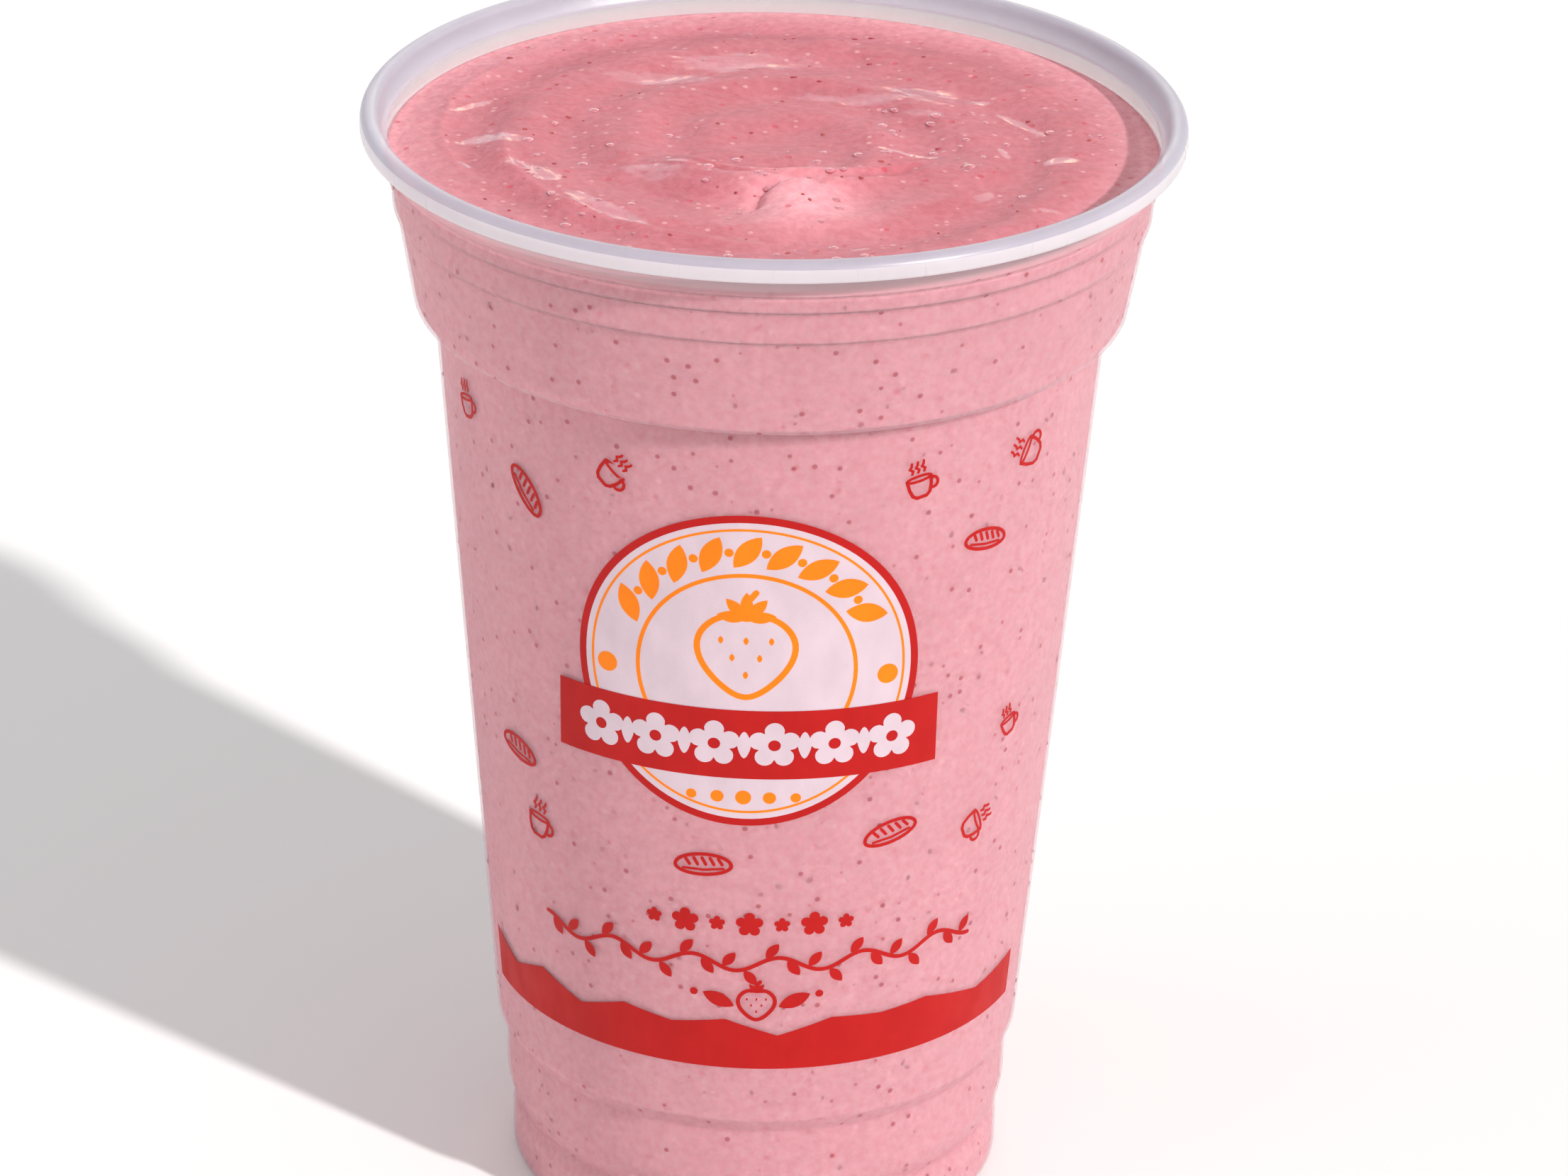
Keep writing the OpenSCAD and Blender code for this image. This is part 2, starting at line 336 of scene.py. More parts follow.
class FinishColours(PropertyGroup):
    """Colours of the finishes"""

    plastic: FloatVectorProperty(
        name="Plastic", description="Milky colour of the cup's wall",
        default=linear(236, 198, 208), subtype="COLOR")
    bare: FloatVectorProperty(
        name="Bare Plastic", description="Colour of the wall above the drink",
        default=linear(176, 172, 174), subtype="COLOR")
    rim: FloatVectorProperty(
        name="Rim", description="Colour of the thicker rim", default=linear(184, 180, 192),
        subtype="COLOR")
    # Painted highlight: the rim's outer face is given a lighter colour than the rest of the rim, where
    # light catches it
    rim_edge: FloatVectorProperty(
        name="Rim Edge", description="Colour of the rim's outer face",
        default=linear(208, 201, 206), subtype="COLOR")
    drink: FloatVectorProperty(
        name="Drink", description="Colour of the drink", default=linear(193, 108, 118),
        subtype="COLOR")
    drink_light: FloatVectorProperty(
        name="Drink Light", description="Colour of the drink's lighter, airy patches",
        default=linear(203, 122, 131), subtype="COLOR")
    # Painted light: a pale pink painted on the drink where the lit peak catches the key light and where
    # light comes through the wall; it is also mixed evenly over the drink's side against the wall, and
    # the wall's pink stain takes it too
    foam: FloatVectorProperty(
        name="Glow Pink", description="Colour of the drink's palest places",
        default=linear(242, 170, 178), subtype="COLOR")
    seed: FloatVectorProperty(
        name="Seed", description="Colour of seeds and skin specks", default=linear(168, 36, 54),
        subtype="COLOR")
    speck: FloatVectorProperty(
        name="Speck", description="Colour of the specks that show through the wall",
        default=linear(146, 66, 76), subtype="COLOR")
    red: FloatVectorProperty(
        name="Red Ink", description="Colour of the red print", default=linear(180, 18, 16),
        subtype="COLOR")
    orange: FloatVectorProperty(
        name="Orange Ink", description="Colour of the orange print", default=linear(244, 126, 12),
        subtype="COLOR")
    white: FloatVectorProperty(
        name="White Ink", description="Colour of the white print", default=linear(211, 189, 198),
        subtype="COLOR")
    floor: FloatVectorProperty(
        name="Floor", description="Colour of the floor", default=linear(236, 235, 234),
        subtype="COLOR")


class StageSettings(PropertyGroup):
    """Camera and light"""

    camera_distance: FloatProperty(
        name="Camera Distance", description="Distance of the camera in front of the cup",
        default=693.18 * MM, unit="LENGTH")
    camera_height: FloatProperty(
        name="Camera Height", description="Height of the camera over the table",
        default=403.26 * MM, unit="LENGTH")
    camera_pitch: FloatProperty(
        name="Camera Pitch", description="How far the camera looks down",
        default=math.radians(25.228), subtype="ANGLE")
    camera_yaw: FloatProperty(
        name="Camera Yaw", description="How far the camera turns to the right",
        default=math.radians(0.194), subtype="ANGLE")
    camera_roll: FloatProperty(
        name="Camera Roll", description="How far the camera leans over",
        default=math.radians(1.26), subtype="ANGLE")
    camera_lens: FloatProperty(
        name="Camera Lens", description="Focal length in millimetres on a sensor 36 mm wide",
        default=143.63)
    key_direction: FloatProperty(
        name="Key Direction",
        description="Direction that the key light comes from, counted from +X towards +Y",
        default=math.radians(-42), subtype="ANGLE")
    key_elevation: FloatProperty(
        name="Key Elevation", description="Height of the key light over the horizon",
        default=math.radians(35), subtype="ANGLE")
    key_strength: FloatProperty(
        name="Key Strength", description="Strength of the key light", default=3.2)
    sky_strength: FloatProperty(
        name="Sky Strength", description="Strength of the even light from all sides", default=0.56)


def settings(context):
    """All sizes, colours and stage settings"""
    return context.scene.smoothie_settings


class SmoothieSettings(PropertyGroup):
    """Everything that shapes and colours the cup of smoothie"""

    cup: PointerProperty(type=CupSizes)
    drink: PointerProperty(type=DrinkSizes)
    ink: PointerProperty(type=PrintSizes)
    colours: PointerProperty(type=FinishColours)
    stage: PointerProperty(type=StageSettings)


# ---------------------------------------------------------------- outlines


def arc(centre, radius, start, end, steps=CORNER_STEPS):
    """Points on an arc, its angles in degrees"""
    angles = [math.radians(start + (end - start) * i / steps) for i in range(steps + 1)]
    return [(centre[0] + radius * math.cos(a), centre[1] + radius * math.sin(a)) for a in angles]


def rounded(corners):
    """An open outline through corners given as (radius, height, roundness)"""
    result = [corners[0][:2]]
    for before, corner, after in zip(corners, corners[1:], corners[2:]):
        middle = Vector(corner[:2])
        back = Vector(before[:2]) - middle
        ahead = Vector(after[:2]) - middle
        turn = math.pi - back.angle(ahead)
        if corner[2] == 0 or turn < math.radians(1):
            result.append(tuple(middle))
            continue
        reach = min(corner[2] * math.tan(turn / 2), 0.48 * back.length, 0.48 * ahead.length)
        hold = [min(CORNER_HOLD, 0.2 * side.length) for side in (back, ahead)]
        back.normalize()
        ahead.normalize()
        radius = reach / math.tan(turn / 2)
        centre = middle + (back + ahead).normalized() * radius / math.cos(turn / 2)
        first = middle + back * reach - centre
        sweep = first.angle_signed(middle + ahead * reach - centre)
        result.append(tuple(middle + back * (reach + hold[0])))
        for step in range(CORNER_STEPS + 1):
            spoke = first.copy()
            spoke.rotate(Matrix.Rotation(-sweep * step / CORNER_STEPS, 2))
            result.append(tuple(centre + spoke))
        result.append(tuple(middle + ahead * (reach + hold[1])))
    result.append(corners[-1][:2])
    return result


def ring_radius(cup, ring):
    """Outer radius at the top of a stacking ring"""
    above = sum(list(cup.ring_heights)[:ring])
    return cup.rim_radius - cup.rim_overhang - cup.ring_taper * above - cup.ring_step * ring


def radii(cup):
    """The wall's outer radii, by name"""
    found = {}
    found["collar"] = ring_radius(cup, len(cup.ring_heights))
    found["shoulder"] = found["collar"] - cup.collar_taper
    found["body_top"] = found["shoulder"] - cup.shoulder_inset
    found["body_foot"] = found["body_top"] - cup.body_taper
    found["heel"] = found["body_foot"] - cup.heel_inset
    found["neck"] = found["heel"] - cup.neck_inset
    found["foot"] = found["neck"] + cup.foot_bulge
    found["land"] = found["foot"] - cup.foot_round - cup.foot_land
    found["hollow"] = found["land"] - cup.base_hollow
    return found


def levels(cup):
    """The wall's heights over the table, by name"""
    found = {}
    found["rings_top"] = cup.height - cup.rim_height
    found["collar"] = found["rings_top"] - sum(cup.ring_heights)
    found["shoulder"] = found["collar"] - cup.collar_height
    found["body_top"] = found["shoulder"] - cup.shoulder_height
    found["heel_bottom"] = cup.foot_height + cup.neck_height
    found["heel_top"] = found["heel_bottom"] + cup.heel_height
    found["body_foot"] = found["heel_top"] + cup.heel_step_height
    found["floor_top"] = cup.base_hollow + cup.floor_thickness
    return found


def wall_corners(cup):
    """Corners of the wall's outside, from the foot ring up to just below the rim"""
    radius = radii(cup)
    level = levels(cup)
    corners = [
        (radius["foot"], cup.foot_height - cup.foot_slope, FOOT_CORNER),
        (radius["neck"], cup.foot_height, FOOT_CORNER),
    ]
    for step in range(NECK_STEPS - 1, 0, -1):
        t = step / NECK_STEPS
        corners.append((radius["heel"] - cup.neck_inset * t * t,
                        level["heel_bottom"] - cup.neck_height * t, 0))
    corners += [
        (radius["heel"], level["heel_bottom"], 0),
        (radius["heel"], level["heel_top"], HEEL_CORNER),
        (radius["body_foot"], level["body_foot"], BODY_CORNER),
        (radius["body_top"], level["body_top"], BODY_CORNER),
        (radius["shoulder"], level["shoulder"], SHOULDER_CORNER),
    ]
    foot = level["collar"]
    for ring in reversed(range(len(cup.ring_heights))):
        height = cup.ring_heights[ring]
        outer = ring_radius(cup, ring) - cup.ring_taper * (height - cup.ring_step)
        corners.append((outer - cup.ring_step, foot, RING_CORNER))
        corners.append((outer, foot + cup.ring_step, RING_CORNER))
        foot += height
    return corners


def inner_corners(cup, depth):
    """The wall's corners moved in by a depth, from the foot ring up; the shoulder's are also
    lifted, so that the wall keeps its thickness there"""
    level = levels(cup)
    slope = math.hypot(cup.shoulder_inset, cup.shoulder_height)
    lift = depth * (slope - cup.shoulder_height) / cup.shoulder_inset
    shoulder = (level["body_top"], level["shoulder"])
    return [(r - depth, z + (lift if z in shoulder else 0), roundness)
            for r, z, roundness in wall_corners(cup)]


def cup_outline(cup):
    """The cup's whole outline, from the middle underneath, over the rim and down to the floor"""
    radius = radii(cup)
    level = levels(cup)
    wall = wall_corners(cup)
    crest = cup.rim_radius - cup.rim_roll
    rim = arc((crest, cup.height - cup.rim_roll), cup.rim_roll, 0, 90, 8)
    lip = arc((crest, cup.height - cup.lip_roll), cup.lip_roll, 90, 180, 6)[1:]
    fillet = (radius["foot"] - cup.wall - cup.foot_fillet, cup.floor_thickness + cup.foot_fillet)
    corners = [
        (0, cup.base_hollow, 0),
        (radius["hollow"], cup.base_hollow, FOOT_CORNER),
        (radius["land"], 0, FOOT_CORNER),
        (radius["foot"], 0, cup.foot_round),
        *wall,
        (ring_radius(cup, 0), level["rings_top"], RING_CORNER),
        (cup.rim_radius, level["rings_top"], cup.rim_edge_round),
        *[(*point, 0) for point in rim + lip],
        (ring_radius(cup, 0) - cup.wall, level["rings_top"], FOOT_CORNER),
        *reversed(inner_corners(cup, cup.wall)),
        *[(*point, 0) for point in reversed(arc(fillet, cup.foot_fillet, -90, 0))],
        (radius["land"], cup.floor_thickness, 0),
        (radius["hollow"], level["floor_top"], FOOT_CORNER),
        (0, level["floor_top"], 0),
    ]
    return rounded(corners)


def outer_radius(cup, height):
    """Outer radius of the tapering body at a height"""
    level = levels(cup)
    radius = radii(cup)
    share = (height - level["body_foot"]) / (level["body_top"] - level["body_foot"])
    return radius["body_foot"] + (radius["body_top"] - radius["body_foot"]) * share


def bore_radius(cup, height):
    """Inner radius of the wall at a height"""
    corners = [*inner_corners(cup, cup.wall),
               (ring_radius(cup, 0) - cup.wall, levels(cup)["rings_top"], 0)]
    return float(np.interp(height, [c[1] for c in corners], [c[0] for c in corners]))


# ---------------------------------------------------------------- meshes


def new_piece(name, points, faces, smooth=True):
    """A new mesh object from points and faces"""
    mesh = bpy.data.meshes.new(name)
    mesh.from_pydata([tuple(p) for p in points], [], faces)
    mesh.polygons.foreach_set("use_smooth", [smooth] * len(mesh.polygons))
    mesh.update()
    piece = bpy.data.objects.new(name, mesh)
    bpy.context.scene.collection.objects.link(piece)
    return piece


def add_mask(piece, name, values):
    """Keeps one value from 0 to 1 at each point of a mesh, for its material"""
    mask = piece.data.attributes.new(name, "FLOAT", "POINT")
    mask.data.foreach_set("value", values.astype(np.float32))


def closed_rings(first, rings, last):
    """Points and faces of a closed skin: rings of points between a first and a last point"""
    rows, count = rings.shape[:2]
    points = np.vstack([[first], rings.reshape(-1, 3), [last]])
    here = 1 + np.arange(rows * count).reshape(rows, count)
    beside = np.roll(here, -1, axis=1)
    quads = np.stack([here[:-1], beside[:-1], beside[1:], here[1:]], axis=-1).reshape(-1, 4)
    start = np.stack([np.zeros(count, int), beside[0], here[0]], axis=-1)
    end = np.stack([np.full(count, len(points) - 1), here[-1], beside[-1]], axis=-1)
    return points, quads.tolist() + start.tolist() + end.tolist()


def turned(outline, segments):
    """Rings of points from an outline of (radius, height) turned round the centre line"""
    turn = np.arange(segments) * TURN / segments
    radius = np.array([p[0] for p in outline])[:, None]
    height = np.array([p[1] for p in outline])[:, None]
    return np.stack([radius * np.cos(turn), radius * np.sin(turn),
                     height + 0 * turn], axis=-1)


def merged(parts):
    """One list of points and one of faces from several"""
    points = []
    faces = []
    for part_points, part_faces in parts:
        shift = len(points)
        points += [tuple(p) for p in part_points]
        faces += [[shift + i for i in face] for face in part_faces]
    return points, faces


# ---------------------------------------------------------------- the drink's surface


def swirl(drink, radius, angle):
    """A wave that winds out from the middle, from 0 to 1"""
    inner = np.minimum(1, radius / drink.swirl_pitch)
    return inner * (1 + np.cos(TURN * radius / drink.swirl_pitch + angle)) / 2


def run_out(angle, start, end):
    """1 between two angles in degrees, running out smoothly before and after them"""
    middle = (start + end) / 2
    turn = (angle - middle + 180) % 360 - 180
    past = np.clip(np.abs(turn) - (end - start) / 2, 0, FOLD_FADE)
    return (1 + np.cos(math.pi * past / FOLD_FADE)) / 2


def fold(drink, x, y, form):
    """Height of one fold, whose sides may differ in steepness"""
    centre_x, centre_y, radius, start, end, share, inner_width, outer_width = form
    across = x - centre_x * MM
    along = y - centre_y * MM
    offset = np.hypot(across, along) - radius * MM
    width = np.where(offset < 0, inner_width, outer_width) * MM
    reach = run_out(np.degrees(np.arctan2(along, across)), start, end)
    return drink.fold_height * share * reach * np.exp(-(offset / width) ** 2)


def ripples(x, y, seed, shortest, longest, count):
    """Uneven waves in all directions, from about -1 to 1"""
    draw = random.Random(seed)
    total = np.zeros_like(x)
    for _ in range(count):
        length = draw.uniform(shortest, longest)
        direction = draw.uniform(0, TURN)
        phase = draw.uniform(0, TURN)
        total += np.sin(TURN * (x * math.cos(direction) + y * math.sin(direction)) / length + phase)
    return total / math.sqrt(count)


def surface_height(cup, drink, x, y):
    """Height of the drink's surface over the table"""
    radius = np.hypot(x, y)
    angle = np.arctan2(y, x)
    level = cup.height - drink.fill_depth
    edge = bore_radius(cup, level)
    fade = np.clip((edge - radius) / EDGE_FADE, 0, 1)
    peak_x = drink.peak_distance * math.cos(drink.peak_angle)
    peak_y = drink.peak_distance * math.sin(drink.peak_angle)
    away = np.hypot(x - peak_x, y - peak_y)
    relief = drink.swirl_height * swirl(drink, radius, angle)
    relief = relief + drink.peak_height * np.exp(-(away / drink.peak_radius) ** 2)
    for form in FOLDS:
        relief = relief + fold(drink, x, y, form)
    for share, seed, shortest, longest, count in RIPPLES:
        waves = ripples(x, y, seed, shortest * MM, longest * MM, count)
        relief = relief + share * drink.ripple_height * waves
    climb = drink.climb_height * np.exp(-np.maximum(edge - radius, 0) / drink.climb_width)
    return level + CAP_LIFT + fade * relief + climb


def height_at(cup, drink, x, y):
    """Height of the drink's surface at one point"""
    return float(surface_height(cup, drink, np.array([x]), np.array([y]))[0])


def wetness(x, y):
    """How wet the drink's surface is, from 0 to about 1"""
    total = np.zeros_like(x)
    for middle_x, middle_y, half_length, half_width, angle, share in STREAKS:
        across = x - middle_x * MM
        along = y - middle_y * MM
        cosine = math.cos(math.radians(angle))
        sine = math.sin(math.radians(angle))
        far = (across * cosine + along * sine) / (half_length * MM)
        side = (along * cosine - across * sine) / (half_width * MM)
        total = np.maximum(total, share * np.exp(-np.abs(far) ** 3 - side ** 2))
    return total


def painted_glow(cup, drink, x, y):
    """How pale the surface is painted: 1 on the peak, a painted pool of light on the lit mound, and
    towards the wall, a painted glow of light that comes through the wall
    """
    away = np.hypot(x - drink.peak_distance * math.cos(drink.peak_angle),
                    y - drink.peak_distance * math.sin(drink.peak_angle))
    edge = bore_radius(cup, cup.height - drink.fill_depth)
    near_edge = np.clip(1 - (edge - np.hypot(x, y)) / EDGE_GLOW, 0, 1) ** 1.5
    return np.maximum(np.exp(-(away / (1.8 * drink.peak_radius)) ** 2), near_edge)


# ---------------------------------------------------------------- nodes


def add_node(tree, kind, x, y, **values):
    """A node at a place in the tree, with its own values set"""
    node = tree.nodes.new(kind)
    node.location = (x, y)
    for key, value in values.items():
        setattr(node, key, value)
    return node


def link(tree, source, output, target, socket):
    """Joins a node's output to another node's input"""
    tree.links.new(source.outputs[output], target.inputs[socket])


def set_inputs(node, values):
    """Sets input sockets by name"""
    for key, value in values.items():
        node.inputs[key].default_value = value


def colour_value(colour):
    """A colour with full alpha, as a socket takes it"""
    return (*colour, 1)


def new_group(name, inputs, outputs):
    """A shader node group with its sockets, and its two end nodes"""
    tree = bpy.data.node_groups.new(name, "ShaderNodeTree")
    for socket, kind, value in inputs:
        made = tree.interface.new_socket(name=socket, in_out="INPUT", socket_type=kind)
        made.default_value = value
    for socket, kind in outputs:
        tree.interface.new_socket(name=socket, in_out="OUTPUT", socket_type=kind)
    start = add_node(tree, "NodeGroupInput", -800, 0)
    end = add_node(tree, "NodeGroupOutput", 600, 0)
    return tree, start, end


def soft_mottle():
    """Shared group: a slow, uneven change from one colour to another, and its mask"""
    name = "Soft Mottle"
    if name in bpy.data.node_groups:
        return bpy.data.node_groups[name]
    tree, start, end = new_group(
        name,
        [
            ("First Color", "NodeSocketColor", (0.8, 0.8, 0.8, 1)),
            ("Second Color", "NodeSocketColor", (0.6, 0.6, 0.6, 1)),
            ("Scale", "NodeSocketFloat", 100),
            ("Stretch", "NodeSocketVector", (1, 1, 1)),
            ("Sharpness", "NodeSocketFloat", 0.5),
        ],
        [("Color", "NodeSocketColor"), ("Mask", "NodeSocketFloat")],
    )
    place = add_node(tree, "ShaderNodeTexCoord", -800, -300)
    stretch = add_node(tree, "ShaderNodeVectorMath", -600, -200, operation="MULTIPLY")
    cloud = add_node(tree, "ShaderNodeTexNoise", -400, -100)
    low = add_node(tree, "ShaderNodeMath", -400, 200, operation="MULTIPLY")
    high = add_node(tree, "ShaderNodeMath", -200, 200, operation="SUBTRACT")
    spread = add_node(tree, "ShaderNodeMapRange", 0, 0, interpolation_type="SMOOTHSTEP")
    mix = add_node(tree, "ShaderNodeMix", 300, 100, data_type="RGBA")
    set_inputs(cloud, {"Detail": 4, "Roughness": 0.55})
    low.inputs[1].default_value = 0.5
    high.inputs[0].default_value = 1
    link(tree, place, "Object", stretch, 0)
    link(tree, start, "Stretch", stretch, 1)
    link(tree, stretch, "Vector", cloud, "Vector")
    link(tree, start, "Scale", cloud, "Scale")
    link(tree, start, "Sharpness", low, 0)
    link(tree, low, "Value", high, 1)
    link(tree, cloud, "Fac", spread, "Value")
    link(tree, low, "Value", spread, "From Min")
    link(tree, high, "Value", spread, "From Max")
    link(tree, spread, "Result", mix, "Factor")
    link(tree, start, "First Color", mix, "A")
    link(tree, start, "Second Color", mix, "B")
    link(tree, mix, "Result", end, "Color")
    link(tree, spread, "Result", end, "Mask")
    return tree


def fine_specks():
    """Shared group: scattered round specks, as a mask"""
    name = "Fine Specks"
    if name in bpy.data.node_groups:
        return bpy.data.node_groups[name]
    tree, start, end = new_group(
        name,
        [
            ("Scale", "NodeSocketFloat", 600),
            ("Size", "NodeSocketFloat", 0.3),
            ("Share", "NodeSocketFloat", 0.3),
        ],
        [("Mask", "NodeSocketFloat")],
    )
    place = add_node(tree, "ShaderNodeTexCoord", -800, -300)
    cells = add_node(tree, "ShaderNodeTexVoronoi", -500, -100)
    size = add_node(tree, "ShaderNodeMath", -500, 200, operation="MULTIPLY")
    near = add_node(tree, "ShaderNodeMapRange", -200, 100, interpolation_type="SMOOTHSTEP")
    split = add_node(tree, "ShaderNodeSeparateColor", -300, -200)
    chosen = add_node(tree, "ShaderNodeMath", -100, -200, operation="LESS_THAN")
    both = add_node(tree, "ShaderNodeMath", 200, 0, operation="MULTIPLY")
    size.inputs[1].default_value = 0.5
    set_inputs(near, {"To Min": 1, "To Max": 0})
    link(tree, place, "Object", cells, "Vector")
    link(tree, start, "Scale", cells, "Scale")
    link(tree, start, "Size", size, 0)
    link(tree, size, "Value", near, "From Min")
    link(tree, start, "Size", near, "From Max")
    link(tree, cells, "Distance", near, "Value")
    link(tree, cells, "Color", split, "Color")
    link(tree, split, "Red", chosen, 0)
    link(tree, start, "Share", chosen, 1)
    link(tree, near, "Result", both, 0)
    link(tree, chosen, "Value", both, 1)
    link(tree, both, "Value", end, "Mask")
    return tree


def place_group(tree, group, x, y, values):
    """A shared group placed in a material with its own values"""
    node = add_node(tree, "ShaderNodeGroup", x, y, node_tree=group)
    set_inputs(node, values)
    return node


def new_material(name, values):
    """A material with one Principled shader, its own sockets set"""
    material = bpy.data.materials.new(name)
    material.use_nodes = True
    tree = material.node_tree
    tree.nodes.clear()
    output = add_node(tree, "ShaderNodeOutputMaterial", 900, 0)
    shader = add_node(tree, "ShaderNodeBsdfPrincipled", 600, 0)
    set_inputs(shader, values)
    link(tree, shader, "BSDF", output, "Surface")
    return material, tree, shader


def vary(tree, mask, low, high, target, x=300, y=-200):
    """Feeds a mask into a socket, spread from low to high"""
    spread = add_node(tree, "ShaderNodeMapRange", x, y)
    set_inputs(spread, {"To Min": low, "To Max": high})
    tree.links.new(mask, spread.inputs["Value"])
    tree.links.new(spread.outputs["Result"], target)


def add_bump(tree, height, distance, shader, strength=1.0):
    """Feeds a height into the shader's normal"""
    bump = add_node(tree, "ShaderNodeBump", 300, -500)
    set_inputs(bump, {"Distance": distance, "Strength": strength})
    tree.links.new(height, bump.inputs["Height"])
    link(tree, bump, "Normal", shader, "Normal")


def shade(colour, factor):
    """A colour made darker or lighter"""
    return tuple(min(1, part * factor) for part in colour)


def attribute(tree, name, x, y):
    """A mask stored on the mesh"""
    return add_node(tree, "ShaderNodeAttribute", x, y, attribute_name=name).outputs["Fac"]


def scaled(tree, mask, factor, x, y):
    """A mask times a factor"""
    product = add_node(tree, "ShaderNodeMath", x, y, operation="MULTIPLY")
    product.inputs[1].default_value = factor
    tree.links.new(mask, product.inputs[0])
    return product.outputs["Value"]


def tinted(tree, base, colour, mask, x, y):
    """A base with a colour mixed in where a mask says"""
    mix = add_node(tree, "ShaderNodeMix", x, y, data_type="RGBA")
    mix.inputs["B"].default_value = colour_value(colour)
    tree.links.new(base, mix.inputs["A"])
    tree.links.new(mask, mix.inputs["Factor"])
    return mix.outputs["Result"]


def toned(tree, base, mask, light, dark, x, y):
    """A base times a tone that runs with a mask from light to dark"""
    tone = add_node(tree, "ShaderNodeMix", x - 150, y - 200, data_type="RGBA")
    mix = add_node(tree, "ShaderNodeMix", x, y, data_type="RGBA", blend_type="MULTIPLY")
    set_inputs(tone, {"A": colour_value(light), "B": colour_value(dark)})
    mix.inputs["Factor"].default_value = 1
    tree.links.new(mask, tone.inputs["Factor"])
    tree.links.new(base, mix.inputs["A"])
    link(tree, tone, "Result", mix, "B")
    return mix.outputs["Result"]


def show_drink(material, speck, alpha):
    """Lets the drink's grain and the specks that lie against the wall show through it"""
    tree = material.node_tree
    shader = next(node for node in tree.nodes if node.type == "BSDF_PRINCIPLED")
    colour = shader.inputs["Base Color"].links[0].from_socket
    grain = place_group(tree, soft_mottle(), 0, 700, {"Scale": 1000, "Sharpness": 0.55})
    specks = place_group(tree, fine_specks(), 0, 900, {"Scale": 430, "Size": 0.2, "Share": 0.65})
    mask = specks.outputs["Mask"]
    colour = toned(tree, colour, grain.outputs["Mask"], (1.06, 1.1, 1.1), (0.9, 0.78, 0.8), 450, 500)
    colour = tinted(tree, colour, speck, mask, 600, 500)
    tree.links.new(colour, shader.inputs["Base Color"])
    vary(tree, mask, alpha, SPECK_ALPHA, shader.inputs["Alpha"], 450, 900)


def plastic_material(name, colour, stain, alpha, roughness):
    """Milky moulded plastic: slight clouds, faint flow lines down the wall, and a stain"""
    material, tree, shader = new_material(name, {
        "Alpha": alpha, "IOR": 1.5, "Specular IOR Level": 0.5,
        "Subsurface Weight": 0.85, "Subsurface Radius": (1, 1, 1), "Subsurface Scale": 5 * MM,
    })
    cloud = place_group(tree, soft_mottle(), 0, 200, {
        "First Color": colour_value(colour), "Second Color": colour_value(shade(colour, 0.94)),
        "Scale": 70, "Stretch": (1, 1, 0.35), "Sharpness": 0.6,
    })
    flow = place_group(tree, soft_mottle(), 0, -300, {
        "Scale": 500, "Stretch": (1, 1, 0.12), "Sharpness": 0.3,
    })
    film = attribute(tree, "stain", 0, 500)
    stained = tinted(tree, cloud.outputs["Color"], stain, film, 300, 300)
    tree.links.new(stained, shader.inputs["Base Color"])
    vary(tree, flow.outputs["Mask"], roughness - 0.05, roughness + 0.07, shader.inputs["Roughness"])
    add_bump(tree, flow.outputs["Mask"], 0.006 * MM, shader)
    return material


def drink_material(colours):
    """Thick blended drink: airy patches, fine fruit specks, painted light on the peak and along the
    wall, a wet skin and tiny pits
    """
    material, tree, shader = new_material("blended_drink", {
        "Subsurface Weight": 0.5, "Subsurface Radius": (1.0, 0.42, 0.36),
        "Subsurface Scale": 2 * MM, "Coat Roughness": 0.1, "Coat IOR": 1.4,
        "IOR": 1.38, "Specular IOR Level": 0.3,
    })
    airy = place_group(tree, soft_mottle(), -900, 300, {
        "First Color": colour_value(colours.drink),
        "Second Color": colour_value(colours.drink_light), "Scale": 95, "Sharpness": 0.62,
    })
    grain = place_group(tree, soft_mottle(), -900, -100, {"Scale": 900, "Sharpness": 0.5})
    dark = place_group(tree, fine_specks(), -900, -400, {"Scale": 620, "Size": 0.3, "Share": 0.1})
    pale = place_group(tree, fine_specks(), -900, -600, {"Scale": 800, "Size": 0.34, "Share": 0.14})
    # Painted light: the drink is mixed towards a pale pink on the lit peak and near the wall, a painted
    # glow of light coming through the wall
    foam = attribute(tree, "foam", -1100, 500)
    dark_share = scaled(tree, dark.outputs["Mask"], 0.5, -600, -350)
    pale_share = scaled(tree, pale.outputs["Mask"], 0.4, -600, -600)
    colour = tinted(tree, airy.outputs["Color"], colours.foam, foam, -750, 450)
    colour = toned(tree, colour, grain.outputs["Mask"], (1.04, 1.06, 1.06), (0.9, 0.8, 0.82),
                   -600, 200)
    colour = tinted(tree, colour, shade(colours.seed, 1.6), dark_share, -350, 200)
    colour = tinted(tree, colour, linear(240, 190, 190), pale_share, -100, 200)
    tree.links.new(colour, shader.inputs["Base Color"])
    vary(tree, airy.outputs["Mask"], 0.42, 0.6, shader.inputs["Roughness"])
    ragged = place_group(tree, soft_mottle(), -500, -250, {
        "Scale": 330, "Stretch": (0.6, 1.6, 1), "Sharpness": 0.45,
    })
    frayed = add_node(tree, "ShaderNodeMath", -300, -200, operation="MULTIPLY_ADD")
    film = add_node(tree, "ShaderNodeMapRange", -100, -150, interpolation_type="SMOOTHSTEP")
    frayed.inputs[1].default_value = -0.6
    set_inputs(film, {"From Min": 0.05, "From Max": 0.5, "To Min": 0, "To Max": 0.95})
    link(tree, ragged, "Mask", frayed, 0)
    tree.links.new(attribute(tree, "wet", -500, -150), frayed.inputs[2])
    link(tree, frayed, "Value", film, "Value")
    link(tree, film, "Result", shader, "Coat Weight")
    pits = add_node(tree, "ShaderNodeMath", -300, -500, operation="SUBTRACT")
    link(tree, grain, "Mask", pits, 0)
    link(tree, dark, "Mask", pits, 1)
    add_bump(tree, pits.outputs["Value"], 0.08 * MM, shader)
    return material


